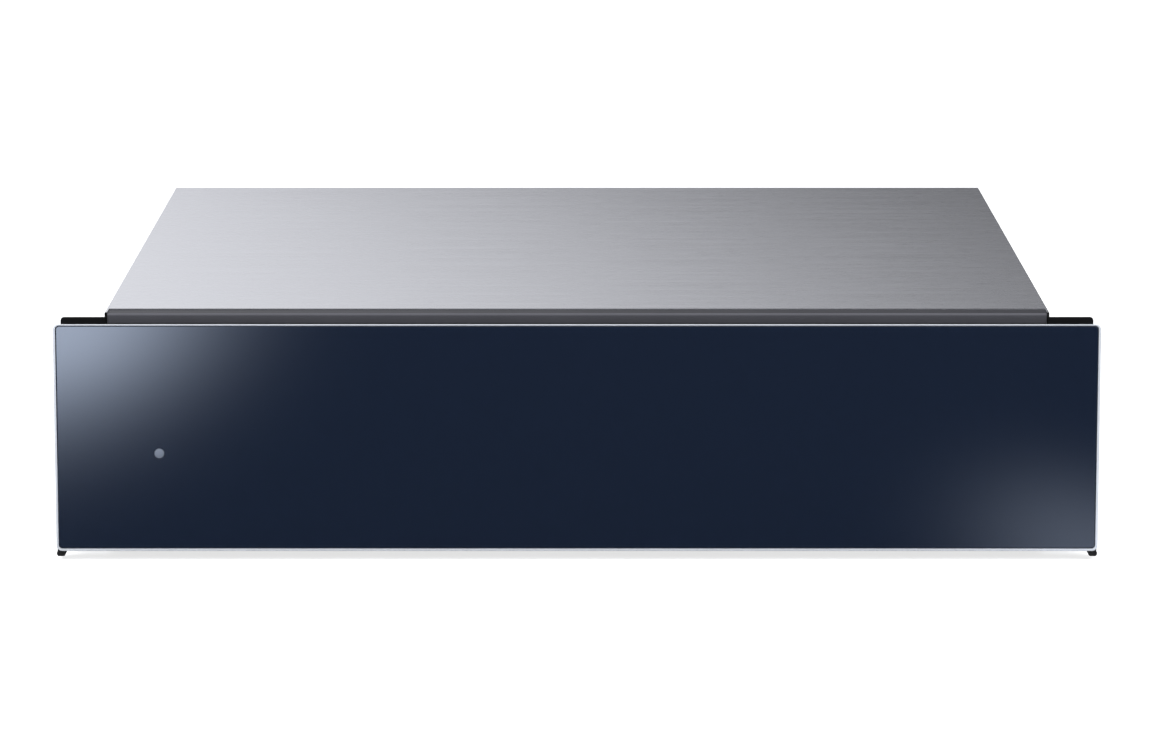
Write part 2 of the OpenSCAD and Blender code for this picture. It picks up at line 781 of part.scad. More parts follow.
intake_rings = 3;
intake_pitch = 9;
intake_hole_r = 2.2;
outlet_rows = 4;
outlet_columns = 9;
outlet_pitch = 12;
outlet_w = 8;
outlet_h = 4;
outlet_x = 110;
outlet_z = fan_z - 1.5 * outlet_pitch + 2;
duct_w = 11.9;
duct_h = 20;
duct_x = inner_wall_x - duct_w;                 // inside face of the wiring duct
duct_high_z = tub_top_z - 2;
duct_low_z = duct_high_z - duct_h;
duct_t = 1.2;
lead_x = inner_wall_x - 5.9;
lead_r = 1;
lead_pitch = 2.9;
lead_low_z = duct_low_z + 7;
capillary_r = 0.8;
capillary_x = lead_x - 2.2;
capillary_z = duct_low_z + 2.6;

// Steel wall between the drawer and the fan chamber, folded back over it as a lid
module air_baffle() {
    y0 = behind(baffle_front);
    color(STAINLESS) difference() {
        union() {
            block([-inner_wall_x, y0, tub_in_z + EASY], [inner_wall_x, y0 + sheet_t, lid_z]);
            block([-inner_wall_x, y0, lid_z - sheet_t],
                [inner_wall_x, behind(rear_wall_front) - EASY, lid_z]);
        }
        end_wall_corner(-1);
        end_wall_corner(1);
        rod_y([0, y0 - 1, fan_z], intake_hole_r, sheet_t + 2);
        for (ring = [1:intake_rings], i = [0:6 * ring - 1]) {
            a = 60 * i / ring;
            rod_y([ring * intake_pitch * cos(a), y0 - 1, fan_z + ring * intake_pitch * sin(a)],
                intake_hole_r, sheet_t + 2);
        }
        for (side = [-1, 1], i = [0:outlet_columns - 1], j = [0:outlet_rows - 1])
            translate([side * (outlet_x + i * outlet_pitch), y0 - 1, outlet_z + j * outlet_pitch])
                block([-outlet_w / 2, 0, -outlet_h / 2], [outlet_w / 2, sheet_t + 2, outlet_h / 2]);
        block([lead_x - 4, y0 - 1, duct_low_z + duct_t],
            [lead_x + 3, y0 + sheet_t + 1, duct_high_z - duct_t]);
    }
}

heater_back = baffle_front + 16;                // distance of the heater loop behind the front
heater_half = inner_wall_x - 94.9;              // straight half-length of the loop
heater_gap_x = 75;
heater_gap = 15;
heater_bend = 8;
heater_end = rear_wall_back + 8;
heater_pin_r = 1.2;
heater_pin_l = 6;
cutout_x = -120;
cutout_z = fan_z + 14;
cutout_r = 8;
cutout_t = 8;

// Rear end wall of the drawer, pierced for the heater's ends
module drawer_rear_wall() {
    y0 = behind(rear_wall_front);
    color(GALVANISED) difference() {
        block([-inner_wall_x, y0, tub_in_z + EASY], [inner_wall_x, y0 + sheet_t, lid_z]);
        end_wall_corner(-1);
        end_wall_corner(1);
        for (s = [-1, 1])
            rod_y([heater_gap_x + s * heater_gap, y0 - 1, heater_z_low], heater_r + EASY, sheet_t + 2);
    }
}

mat_edge = 4;                                   // gap between the mat and the walls
mat_groove_pitch = 19;
mat_groove_w = 2;
mat_groove_d = 0.6;
mat_border = 20;                                // plain border at the mat's sides
mat_half = tub_in_x - mat_edge;
mat_side_grooves = floor((mat_half - mat_border) / mat_groove_pitch);

// Grooved rubber mat on the drawer's floor
module anti_slip_mat() {
    y0 = behind(front_wall_back + mat_edge);
    y1 = behind(baffle_front - mat_edge);
    color(RUBBER) difference() {
        block([-mat_half, y0, tub_in_z], [mat_half, y1, tub_in_z + mat_t]);
        for (i = [-mat_side_grooves:mat_side_grooves]) {
            x = i * mat_groove_pitch;
            block([x - mat_groove_w / 2, y0 + 6, tub_in_z + mat_t - mat_groove_d],
                [x + mat_groove_w / 2, y1 - 6, tub_in_z + mat_t + 1]);
        }
    }
}

// ---------------------------------------------------------------- drawer front

carrier_x = front_w / 2 - carrier_inset;
carrier_low = front_lift + carrier_inset;
carrier_high = front_top_z - carrier_inset;
carrier_rim = 6;                                // width of the carrier's edge walls
carrier_back_t = 1.5;
pocket_x = carrier_x - carrier_rim;
pocket_low = carrier_low + carrier_rim;
pocket_high = carrier_high - carrier_rim;
boss_r = 5;
glass_gap = 0.1;
board_w = 30;
board_h = 16;
board_front = 8.4;
board_t = 1.6;

// Flat outline of the front, inset on every side
module front_outline(inset, r) {
    round_rect([-front_w / 2 + inset, front_lift + inset],
        [front_w / 2 - inset, front_top_z - inset], r);
}

// Black tray behind the glass, with bosses for the screws
module front_carrier() {
    color(BLACK) difference() {
        union() {
            difference() {
                along_y(behind(glass_back), behind(front_t)) front_outline(carrier_inset, 2);
                block([-pocket_x, behind(glass_back - 1), pocket_low],
                    [pocket_x, behind(front_t - carrier_back_t), pocket_high]);
            }
            for (x = front_screw_xs, z = front_screw_zs)
                rod_y([x, behind(glass_back + 1), z], boss_r, front_t - glass_back - 1 - EPS);
        }
        front_screw_places() screw_drill();
    }
}

// Wool slab in the carrier, cut out around the bosses and the indicator
module front_insulation() {
    y0 = behind(board_front + board_t + 0.6);
    y1 = behind(front_t - carrier_back_t);
    color(WOOL) difference() {
        block([-pocket_x + EASY, y0, pocket_low + EASY], [pocket_x - EASY, y1, pocket_high - EASY]);
        for (x = front_screw_xs, z = front_screw_zs)
            rod_y([x, y0 - 1, z], boss_r + EASY, front_t);
        block([-lens_left - board_w / 2 - 1, y0 - 1, lens_z - board_h / 2 - 1],
            [-lens_left + board_w / 2 + 1, y1 + 1, lens_z + board_h / 2 + 1]);
    }
}

// Tempered navy glass, bevelled along its edges, with the hole for the indicator
module front_glass() {
    inset = rim_w + glass_gap;
    r = max(front_corner_r - inset, 0.4);
    color(NAVY) difference() {
        along_y(behind(glass_recess), behind(glass_back)) front_outline(inset, r);
        rod_y([-lens_left, behind(-1), lens_z], lens_r + 0.1, glass_back + 2);
    }
}

// Slim aluminium rim around the glass, with a lip behind its edge
module front_rim() {
    color(SILVER) difference() {
        along_y(behind(0), behind(rim_depth)) front_outline(0, front_corner_r);
        along_y(behind(-1), behind(glass_back))
            front_outline(rim_w, max(front_corner_r - rim_w, 0.5));
        along_y(behind(glass_back - 1), behind(rim_depth + 1)) front_outline(carrier_inset - EASY, 2.2);
    }
}

buffer_w = 5;
buffer_low = 2;
buffer_top = 24;
buffer_front = 1.5;
buffer_back = 13;

// Two black buffers under the lower corners of the front
module corner_buffers() {
    x1 = front_w / 2;
    color(BLACK) both_sides() {
        along_y(behind(buffer_front), behind(buffer_back))
            round_rect([x1 - buffer_w, buffer_low], [x1, front_lift - 0.1], 1.4);
        along_y(behind(rim_depth + 0.1), behind(buffer_back))
            round_rect([carrier_x + 0.1, buffer_low], [x1, buffer_top], 1.4);
    }
}

// Screws from the drawer's front wall into the carrier
module front_screws() {
    color(ZINC) front_screw_places() screw(front_screw_l);
}

// Satin indicator lens in the glass, with a collar behind it
module indicator_lens() {
    color(SILVER) {
        rod_y([-lens_left, behind(0), lens_z], lens_r, glass_back + EPS);
        rod_y([-lens_left, behind(glass_back), lens_z], lens_r + 1.4, 1);
    }
}

// Lamp board behind the lens, on two pegs that reach the carrier's back
module indicator_board() {
    color(GREEN) {
        block([-lens_left - board_w / 2, behind(board_front), lens_z - board_h / 2],
            [-lens_left + board_w / 2, behind(board_front + board_t), lens_z + board_h / 2]);
        rod_y([-lens_left, behind(glass_back + 1.4), lens_z], 1.6, board_front - glass_back - 1.4 + EPS);
        for (side = [-1, 1])
            rod_y([-lens_left + side * (board_w / 2 - 4), behind(board_front + board_t - EPS), lens_z], 2,
                front_t - carrier_back_t - board_front - board_t + EPS);
    }
}

// ---------------------------------------------------------------- controls

housing_w = 132.9;
housing_h = 44;
housing_d = 64;
housing_rise = 6;                               // how far it stands above the tub's edge
housing_high = tub_top_z + housing_rise;
housing_low = housing_high - housing_h;
housing_t = 2;
housing_right = inner_wall_x;
housing_left = housing_right - housing_w;
housing_back = front_wall_back + housing_d;
fascia_t = 0.6;
fascia_z = housing_high + fascia_t;
knob_x = housing_left + 38;
knob_back = front_wall_back + 35;
bush_r = 5;
shaft_r = 3;
shaft_low = housing_high - 18;
switch_x = housing_left + 94;
switch_w = 22;
switch_l = 24;
button_w = switch_w - 5;
button_l = switch_l - 5;
button_stroke = 2.5;
button_high = fascia_z + 3;
button_low = button_high - 12.6;
cavity_low = button_low - button_stroke - 1;

// Moulded housing of the controls, inside the drawer's right front corner
module control_housing() {
    y0 = behind(front_wall_back + EASY);
    y1 = behind(housing_back);
    color(BLACK) difference() {
        union() {
            difference() {
                block([housing_left, y0, housing_low], [housing_right, y1, housing_high]);
                block([housing_left + housing_t, y0 - 1, housing_low + housing_t],
                    [housing_right - housing_t, y1 - housing_t, housing_high - housing_t]);
            }
            block([housing_left, behind(front_t + 0.1), housing_high - housing_t],
                [housing_right, y0 + EPS, housing_high]);
        }
        rod_z([knob_x, behind(knob_back), housing_high - housing_t - 1], bush_r + EASY, housing_t + 2);
        switch_opening(housing_high - housing_t - 1, housing_high + 1);
        block([lead_x - 4, y1 - housing_t - 1, duct_low_z + duct_t],
            [lead_x + 3, y1 + 1, duct_high_z - duct_t]);
    }
}

module switch_opening(z0, z1) {
    block([switch_x - switch_w / 2 - EASY, behind(knob_back) - switch_l / 2 - EASY, z0],
        [switch_x + switch_w / 2 + EASY, behind(knob_back) + switch_l / 2 + EASY, z1]);
}

dial_marks = 10;
dial_range = 270;
mark_h = 0.2;

// Silver plate with the dial's plain tick marks
module control_fascia() {
    color(SILVER) difference() {
        union() {
            block([housing_left + 4, behind(front_wall_back + 6), housing_high],
                [housing_right - 4, behind(housing_back - 4), fascia_z]);
            for (i = [0:dial_marks]) translate([knob_x, behind(knob_back), fascia_z - EPS])
                rotate([0, 0, 225 - i * dial_range / dial_marks])
                    translate([knob_r + 2, -0.4, 0]) cube([i % 5 == 0 ? 5 : 3.5, 0.8, mark_h + EPS]);
        }
        rod_z([knob_x, behind(knob_back), housing_high - 1], bush_r + EASY, fascia_t + 2);
        switch_opening(housing_high - 1, fascia_z + 1);
    }
}

thermostat_r = 15;
thermostat_low = housing_high - 30;

// Capillary thermostat under the housing's top, with its threaded bush
module thermostat() {
    y = behind(knob_back);
    color(GALVANISED) difference() {
        union() {
            rod_z([knob_x, y, thermostat_low], thermostat_r, housing_high - housing_t - thermostat_low);
            rod_z([knob_x, y, housing_high - housing_t - EPS], bush_r, housing_t + fascia_t);
            for (side = [-1, 1])
                block([knob_x + side * 7 - 3, y - 0.4, thermostat_low - 7],
                    [knob_x + side * 7 + 3, y + 0.4, thermostat_low + EPS]);
        }
        rod_z([knob_x, y, shaft_low - CLEAR], shaft_r + RUNNING, housing_high);
    }
}

shaft_high = fascia_z + knob_h - 2.5;

// Shaft of the thermostat
module thermostat_shaft() {
    color(ZINC) rod_z([knob_x, behind(knob_back), shaft_low], shaft_r, shaft_high - shaft_low);
}

knob_z = fascia_z + mark_h + CLEAR;
grips = 14;

// Knob with grip flutes and a pointer groove
module thermostat_knob() {
    z1 = fascia_z + knob_h;
    color(BLACK) translate([knob_x, behind(knob_back), 0]) difference() {
        union() {
            rod_z([0, 0, knob_z], knob_r, 2);
            translate([0, 0, knob_z + 2 - EPS])
                cylinder(r1 = knob_r - 1.2, r2 = knob_r - 2.2, h = z1 - 1 - knob_z - 2 + EPS);
            translate([0, 0, z1 - 1 - EPS]) cylinder(r1 = knob_r - 2.2, r2 = knob_r - 3.2, h = 1 + EPS);
        }
        for (i = [0:grips - 1]) rotate([0, 0, (i + 0.5) * 360 / grips])
            rod_z([knob_r - 0.6, 0, knob_z + 3], 1.5, knob_h);
        rod_z([0, 0, knob_z - 1], shaft_r + 0.02, shaft_high - knob_z + 1.3);
        rotate([0, 0, 225]) block([4, -0.7, z1 - 0.6], [knob_r, 0.7, z1 + 1]);
    }
}

// Body and bezel of the power switch
module power_switch() {
    y = behind(knob_back);
    color(BLACK) difference() {
        union() {
            block([switch_x - switch_w / 2, y - switch_l / 2, cavity_low - 8],
                [switch_x + switch_w / 2, y + switch_l / 2, fascia_z + EPS]);
            block([switch_x - switch_w / 2 - 2, y - switch_l / 2 - 2, fascia_z],
                [switch_x + switch_w / 2 + 2, y + switch_l / 2 + 2, fascia_z + 1]);
            for (dy = [-6, 6]) block([switch_x - 3, y + dy - 0.4, cavity_low - 15],
                [switch_x + 3, y + dy + 0.4, cavity_low - 8 + EPS]);
        }
        block([switch_x - button_w / 2 - CLEAR, y - button_l / 2 - CLEAR, cavity_low],
            [switch_x + button_w / 2 + CLEAR, y + button_l / 2 + CLEAR, fascia_z + 5]);
    }
}

// Push button of the power switch, with a round finger hollow
module power_button() {
    y = behind(knob_back);
    color(SILVER) difference() {
        block([switch_x - button_w / 2, y - button_l / 2, button_low],
            [switch_x + button_w / 2, y + button_l / 2, button_high]);
        rod_z([switch_x, y, button_high - 0.5], 5.5, 1);
    }
}

// Channel that covers the leads along the drawer's right wall
module wiring_duct() {
    color(BLACK) along_y(behind(housing_back), behind(baffle_front)) difference() {
        translate([duct_x, duct_low_z])
            square([inner_wall_x - duct_x, duct_high_z - duct_low_z]);
        translate([duct_x + duct_t, duct_low_z + duct_t])
            square([inner_wall_x, duct_high_z - duct_low_z - 2 * duct_t]);
    }
}

lead_front = front_wall_back + 40;
plug_d = 12;
lead_back = baffle_front + plug_d;
leads = 4;
plug_low_z = lead_low_z - 2.5;
plug_high_z = lead_low_z + (leads - 1) * lead_pitch + 2.8;

// Four leads in the duct, with a plug at each end
module duct_leads() {
    color(COPPER) {
        for (i = [0:leads - 1])
            rod_y([lead_x, behind(lead_front - EPS), lead_low_z + i * lead_pitch], lead_r,
                lead_back - lead_front + 2 * EPS);
        block([lead_x - 2.5, behind(lead_front - plug_d), plug_low_z],
            [housing_right - housing_t, behind(lead_front), plug_high_z]);
        block([lead_x - 2.5, behind(lead_back), plug_low_z],
            [inner_wall_x, behind(lead_back + plug_d), plug_high_z]);
    }
}

// ---------------------------------------------------------------- heater and fan

// Closed loop of heater tube with two ends that go out through the rear wall
module heater_element() {
    y = behind(heater_back);
    r = (heater_z_high - heater_z_low) / 2;
    zm = (heater_z_high + heater_z_low) / 2;
    color(STAINLESS) {
        rod_x([-heater_half, y, heater_z_high], heater_r, 2 * heater_half);
        rod_x([-heater_half, y, heater_z_low], heater_r,
            heater_half + heater_gap_x - heater_gap - heater_bend);
        rod_x([heater_gap_x + heater_gap + heater_bend, y, heater_z_low], heater_r,
            heater_half - heater_gap_x - heater_gap - heater_bend);
        both_sides() translate([heater_half, y, zm]) rotate([90, 0, 0]) rotate([0, 0, -90])
            rotate_extrude(angle = 180) translate([r, 0]) circle(heater_r);
        for (s = [-1, 1]) {
            x = heater_gap_x + s * heater_gap;
            translate([x + s * heater_bend, y + heater_bend, heater_z_low])
                rotate([0, 0, s > 0 ? 180 : 270])
                    rotate_extrude(angle = 90) translate([heater_bend, 0]) circle(heater_r);
            rod_y([x, y + heater_bend, heater_z_low], heater_r, behind(heater_end) - y - heater_bend);
            rod_y([x, behind(heater_end), heater_z_low], heater_pin_r, heater_pin_l);
        }
    }
}

bulb_r = 2.5;
bulb_x = 120;
bulb_l = 55;
bulb_z = tub_top_z - 12;

// Feeler bulb behind the baffle and its capillary tube through the duct to the thermostat
module temperature_probe() {
    y = behind(baffle_front + sheet_t + bulb_r + 0.1);
    y_in = behind(knob_back + thermostat_r + 4);
    corners = [[bulb_x + bulb_l, y, bulb_z], [capillary_x, y, bulb_z],
        [capillary_x, y, capillary_z], [capillary_x, y_in, capillary_z],
        [knob_x, y_in, capillary_z], [knob_x, behind(knob_back) + thermostat_r + 0.1, capillary_z]];
    color(COPPER) {
        rod_x([bulb_x, y, bulb_z], bulb_r, bulb_l);
        for (i = [0:len(corners) - 2]) straight(corners[i], corners[i + 1], capillary_r);
        for (i = [1:len(corners) - 2]) translate(corners[i]) sphere(capillary_r);
    }
}

// Round bar between two points that differ along one axis
module straight(a, b, r) {
    d = b - a;
    low = [min(a[0], b[0]), min(a[1], b[1]), min(a[2], b[2])];
    if (abs(d[0]) > 0) rod_x(low, r, abs(d[0]));
    if (abs(d[1]) > 0) rod_y(low, r, abs(d[1]));
    if (abs(d[2]) > 0) rod_z(low, r, abs(d[2]));
}

// Round overheat cutout on the rear wall, with two contact tabs
module overheat_cutout() {
    y1 = behind(rear_wall_front);
    color(IVORY) {
        rod_y([cutout_x, y1 - cutout_t, cutout_z], cutout_r, cutout_t);
        block([cutout_x - 15, y1 - 1, cutout_z - 5], [cutout_x + 15, y1, cutout_z + 5]);
        for (s = [-1, 1])
            block([cutout_x + s * 4 - 0.4, y1 - 2 * cutout_t, cutout_z - 2.5],
                [cutout_x + s * 4 + 0.4, y1 - cutout_t + EPS, cutout_z + 2.5]);
    }
}

fan_front = baffle_front + 7;
fan_depth = 20;
fan_disc = 1.2;
fan_inner_r = fan_r * 0.56;
fan_hub_r = 7;
fan_shaft_r = 2.5;
core_front = baffle_front + 34;
core_depth = 14;
rotor_r = 10;

// Radial fan wheel: back disc, straight blades, front ring and hub
module fan_wheel() {
    back = fan_front + fan_depth;
    color(STAINLESS) difference() {
        union() {
            rod_y([0, behind(back - fan_disc), fan_z], fan_r, fan_disc);
            difference() {
                rod_y([0, behind(fan_front), fan_z], fan_r, 1);
                rod_y([0, behind(fan_front - 1), fan_z], fan_inner_r, 3);
            }
            rod_y([0, behind(fan_front + 8), fan_z], fan_hub_r, fan_depth - 8);
            for (i = [0:fan_blades - 1]) translate([0, 0, fan_z]) rotate([0, i * 360 / fan_blades, 0])
                block([fan_inner_r, behind(fan_front + EPS), -0.5], [fan_r - 0.6, behind(back - EPS), 0.5]);
        }
        rod_y([0, behind(fan_front), fan_z], fan_shaft_r + 0.02, fan_depth + 2);
    }
}

// Shaft and rotor of the fan motor
module motor_rotor() {
    color(ZINC) {
        rod_y([0, behind(fan_front + 6), fan_z], fan_shaft_r, core_front + core_depth + 6 - fan_front - 6);
        rod_y([0, behind(core_front), fan_z], rotor_r, core_depth);
    }
}

core_w = 48;
coil_room = 6.4;                                // from the core's top to the chamber's lid
core_high = lid_z - sheet_t - coil_room;
core_low = fan_z - 16;
bar_h = 8;
bar_low = core_high - bar_h;
window_w = 26;
window_h = 10;
coil_t = 5.5;                                   // thickness of the winding before the core

// Laminated core of the shaded-pole motor
module motor_core() {
    y0 = behind(core_front);
    y1 = behind(core_front + core_depth);
    color(GALVANISED) difference() {
        block([-core_w / 2, y0, core_low], [core_w / 2, y1, core_high]);
        rod_y([0, y0 - 1, fan_z], rotor_r + CLEAR, core_depth + 2);
        block([-window_w / 2, y0 - 1, bar_low - window_h], [window_w / 2, y1 + 1, bar_low]);
    }
}

// Winding on the core's upper bar
module motor_coil() {
    y0 = behind(core_front);
    y1 = behind(core_front + core_depth);
    color(COPPER) difference() {
        block([-window_w / 2 + 1, y0 - coil_t, bar_low - 7],
            [window_w / 2 - 1, y1 + coil_t, core_high + 5.8]);
        block([-window_w / 2, y0 - EASY, bar_low - EASY], [window_w / 2, y1 + EASY, core_high + EASY]);
    }
}

pillar_x = core_w / 2 + 3;
bracket_t = 2;
bracket_h = 14;

// Bearing brackets of the motor on two pillars that stand on the rear wall
module motor_brackets() {
    front = core_front - 3.5;
    back = core_front + core_depth + 1.5;
    color(GALVANISED) difference() {
        union() {
            for (d = [front, back]) {
                block([-pillar_x - 3, behind(d), fan_z - bracket_h / 2],
                    [pillar_x + 3, behind(d + bracket_t), fan_z + bracket_h / 2]);
            }
            for (s = [-1, 1])
                rod_y([s * pillar_x, behind(front), fan_z], pillar_x - core_w / 2 - EASY,
                    rear_wall_front - front);
        }
        rod_y([0, behind(front - 1), fan_z], fan_shaft_r + RUNNING, core_depth + 20);
    }
}

// Rubber pad on the rear wall that meets the latch plunger
module striker_pad() {
    color(RUBBER) block([-11, behind(rear_wall_back), latch_z - 9], [11, behind(striker_back), latch_z + 9]);
}

// ---------------------------------------------------------------- nodes

module side_panel_left() { side_panel(-1); }
module side_panel_right() { side_panel(1); }
module side_flange_left() { side_flange(-1); }
module side_flange_right() { side_flange(1); }
module slide_outer_left() { slide_outer(-1); }
module slide_outer_right() { slide_outer(1); }
module slide_middle_left() { slide_middle(-1); }
module slide_middle_right() { slide_middle(1); }
module slide_inner_left() { slide_inner(-1); }
module slide_inner_right() { slide_inner(1); }
module ball_cages_outer() { for (side = [-1, 1]) ball_cage_outer(side); }
module ball_cages_inner() { for (side = [-1, 1]) ball_cage_inner(side); }

top_cover();
side_panel_left();
side_panel_right();
base_plate();
rear_panel();
front_rail();
front_sill();
side_flange_left();
side_flange_right();
front_seals();
ceiling_tray();
insulation_mat();
rubber_feet();
casing_screws();
slide_screws();
slide_outer_left();
slide_outer_right();
terminal_box();
mains_gland();
terminal_block();
latch_housing();
latch_plunger();
latch_spring();
slide_middle_left();
slide_middle_right();
ball_cages_outer();
ball_cages_inner();
slide_inner_left();
slide_inner_right();
drawer_tub();
drawer_front_wall();
air_baffle();
drawer_rear_wall();
anti_slip_mat();
front_carrier();
front_insulation();
front_glass();
front_rim();
corner_buffers();
front_screws();
indicator_lens();
indicator_board();
control_housing();
control_fascia();
thermostat();
thermostat_shaft();
thermostat_knob();
power_switch();
power_button();
wiring_duct();
duct_leads();
heater_element();
temperature_probe();
overheat_cutout();
fan_wheel();
motor_rotor();
motor_core();
motor_coil();
motor_brackets();
striker_pad();
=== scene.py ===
"""Built-in warming drawer: the looks of every piece, in metres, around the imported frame."""

import json
import math
from functools import partial

import bmesh
import bpy
from mathutils import Matrix, Vector, noise
from mathutils.geometry import tessellate_polygon

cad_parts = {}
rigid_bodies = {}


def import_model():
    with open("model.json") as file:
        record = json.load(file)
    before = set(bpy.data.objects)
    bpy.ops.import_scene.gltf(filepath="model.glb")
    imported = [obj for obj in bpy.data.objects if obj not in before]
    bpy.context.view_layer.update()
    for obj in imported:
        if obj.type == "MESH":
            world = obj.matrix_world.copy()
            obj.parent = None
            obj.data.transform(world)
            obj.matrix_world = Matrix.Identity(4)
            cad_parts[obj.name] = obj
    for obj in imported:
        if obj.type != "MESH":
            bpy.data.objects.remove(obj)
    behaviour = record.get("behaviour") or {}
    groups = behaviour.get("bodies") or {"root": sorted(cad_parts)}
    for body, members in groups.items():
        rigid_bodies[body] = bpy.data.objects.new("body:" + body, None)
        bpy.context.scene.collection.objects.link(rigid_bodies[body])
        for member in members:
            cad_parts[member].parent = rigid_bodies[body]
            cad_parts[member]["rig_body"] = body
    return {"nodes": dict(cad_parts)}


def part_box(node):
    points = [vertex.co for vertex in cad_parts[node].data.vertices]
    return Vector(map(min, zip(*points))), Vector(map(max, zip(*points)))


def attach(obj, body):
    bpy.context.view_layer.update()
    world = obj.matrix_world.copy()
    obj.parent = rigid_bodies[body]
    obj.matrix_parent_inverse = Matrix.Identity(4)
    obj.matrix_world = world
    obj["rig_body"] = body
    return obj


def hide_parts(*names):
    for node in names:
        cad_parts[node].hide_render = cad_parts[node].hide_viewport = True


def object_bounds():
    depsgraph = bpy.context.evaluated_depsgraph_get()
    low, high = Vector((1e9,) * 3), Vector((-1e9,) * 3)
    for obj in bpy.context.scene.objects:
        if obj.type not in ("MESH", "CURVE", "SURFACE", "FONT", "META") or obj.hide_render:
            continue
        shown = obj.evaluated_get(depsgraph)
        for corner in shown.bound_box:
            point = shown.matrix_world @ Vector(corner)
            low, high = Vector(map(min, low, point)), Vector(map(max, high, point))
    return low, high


bl_info = {
    "name": "Warming Drawer",
    "version": (1, 0, 0),
    "blender": (4, 5, 0),
    "location": "View3D > Sidebar > Warming Drawer",
    "description": "Builds the visible pieces of a built-in warming drawer",
    "category": "Object",
}

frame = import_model()
CAD_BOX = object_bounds()
MM = 0.001
EDGE_ANGLE = math.radians(32)
FLAT_ANGLE = math.radians(0.5)
# corners of a CAD node that are this close are one
TOUCHING = 0.002 * MM
RIM_LIP = 0.9 * MM
# how much less tall the front's skin is than its CAD node, at the top
TOP_GAP = 0.3 * MM
# width of the rim's lip beside, above and below the glass
LIP_WIDTHS = (1.25 * MM, 0.7 * MM, 1.35 * MM)
# height of a screw's head
HEAD_HEIGHT = 2.0 * MM
# a sanded sheet's broad streaks are this many times as large as its scratches
STREAK = 7
# its grain runs along x, tipped a little so that no face's normal lies exactly on it
GRAIN_LINE = (1.0, 0.0, 0.001)
MULTIPLY, MULTIPLY_ADD = {"operation": "MULTIPLY"}, {"operation": "MULTIPLY_ADD"}
COLOR = {"data_type": "RGBA"}


# ---------------------------------------------------------------- small tools

def srgb(text):
    """A #rrggbb sRGB colour as linear red, green, blue and alpha."""
    parts = [int(text[i:i + 2], 16) / 255 for i in (1, 3, 5)]
    linear = [p / 12.92 if p <= 0.04045 else ((p + 0.055) / 1.055) ** 2.4 for p in parts]
    return (*linear, 1.0)


def set_inputs(node, **inputs):
    """Sets a node's inputs, each to a value, an output, or a node for its first active output.

    An input goes by its name, or by at and its number."""
    for key, value in inputs.items():
        numbered = key.startswith("at") and key[2:].isdigit()
        socket = node.inputs[int(key[2:]) if numbered else key.replace("_", " ")]
        if isinstance(value, bpy.types.Node):
            value = next(out for out in value.outputs if out.enabled)
        if isinstance(value, bpy.types.NodeSocket):
            node.id_data.links.new(value, socket)
        else:
            socket.default_value = value


def add_node(tree, kind, settings=None, **inputs):
    """Adds a node with its settings and inputs."""
    made = tree.nodes.new(kind)
    for key, value in (settings or {}).items():
        setattr(made, key, value)
    set_inputs(made, **inputs)
    return made


def set_stops(ramp, stops):
    """Gives a colour ramp its stops, (position, colour) from left to right."""
    marks = ramp.color_ramp.elements
    while len(marks) > 1:
        marks.remove(marks[-1])
    for i, (position, color) in enumerate(stops):
        mark = marks[0] if i == 0 else marks.new(position)
        mark.position, mark.color = position, color


def empty_material(name):
    """A material with an empty node tree, and the function that adds a node to it."""
    made = bpy.data.materials.new(name)
    made.use_nodes = True
    made.node_tree.nodes.clear()
    return made, partial(add_node, made.node_tree)


def new_material(name):
    """A material, what adds a node to it, its shader, and the Object coordinates in metres."""
    made, add = empty_material(name)
    shader = add("ShaderNodeBsdfPrincipled")
    add("ShaderNodeOutputMaterial", Surface=shader)
    place = add("ShaderNodeTexCoord").outputs["Object"]
    return made, add, shader, place


def per_mm(*sizes):
    """A texture's scale that makes its unit as large as sizes, in mm: one, or one an axis."""
    scales = tuple(1.0 / (MM * s) for s in sizes)
    return scales if len(scales) > 1 else scales[0]


def rounded_outline(low, high, radius, steps=6):
    """Points of a rectangle with round corners, counter-clockwise seen from +second axis."""
    radius = max(radius, 0.01 * MM)
    centres = (
        (high[0] - radius, high[1] - radius, 0),
        (low[0] + radius, high[1] - radius, 90),
        (low[0] + radius, low[1] + radius, 180),
        (high[0] - radius, low[1] + radius, 270),
    )
    points = []
    for x, z, start in centres:
        for i in range(steps + 1):
            a = math.radians(start + 90 * i / steps)
            points.append((x + radius * math.cos(a), z + radius * math.sin(a)))
    return points


def circle_points(centre, radius, count):
    """Points of a circle in two axes."""
    return [(centre[0] + radius * math.cos(2 * math.pi * i / count),
             centre[1] + radius * math.sin(2 * math.pi * i / count)) for i in range(count)]


def skin(mesh, rings, closed=False, smooth=False):
    """Adds rings of points of the same count to a bmesh, joined by bands of faces."""
    made = [[mesh.verts.new(p) for p in ring] for ring in rings]
    for a, b in zip(made, made[1:] + (made[:1] if closed else [])):
        for i in range(len(a)):
            j = (i + 1) % len(a)
            mesh.faces.new((a[i], a[j], b[j], b[i])).smooth = smooth
    return made


def loft(rings, closed=False, cap_start=False, cap_end=False):
    """A bmesh skinned over rings of points."""
    mesh = bmesh.new()
    made = skin(mesh, rings, closed)
    if cap_start:
        mesh.faces.new(list(reversed(made[0])))
    if cap_end:
        mesh.faces.new(made[-1])
    bmesh.ops.recalc_face_normals(mesh, faces=mesh.faces)
    return mesh


def merged_copy(name):
    """A CAD node's mesh as a bmesh with its loose triangles joined at their corners."""
    mesh = bmesh.new()
    mesh.from_mesh(frame["nodes"][name].data)
    bmesh.ops.remove_doubles(mesh, verts=mesh.verts, dist=TOUCHING)
    return mesh


def flatten(mesh):
    """Joins the triangles of a bmesh that lie in one plane into whole faces."""
    bmesh.ops.dissolve_limit(mesh, angle_limit=FLAT_ANGLE, verts=mesh.verts, edges=mesh.edges,
                             delimit=set())
    return mesh


def cad_copy(name):
    """A CAD node's mesh as a bmesh with whole flat faces."""
    return flatten(merged_copy(name))


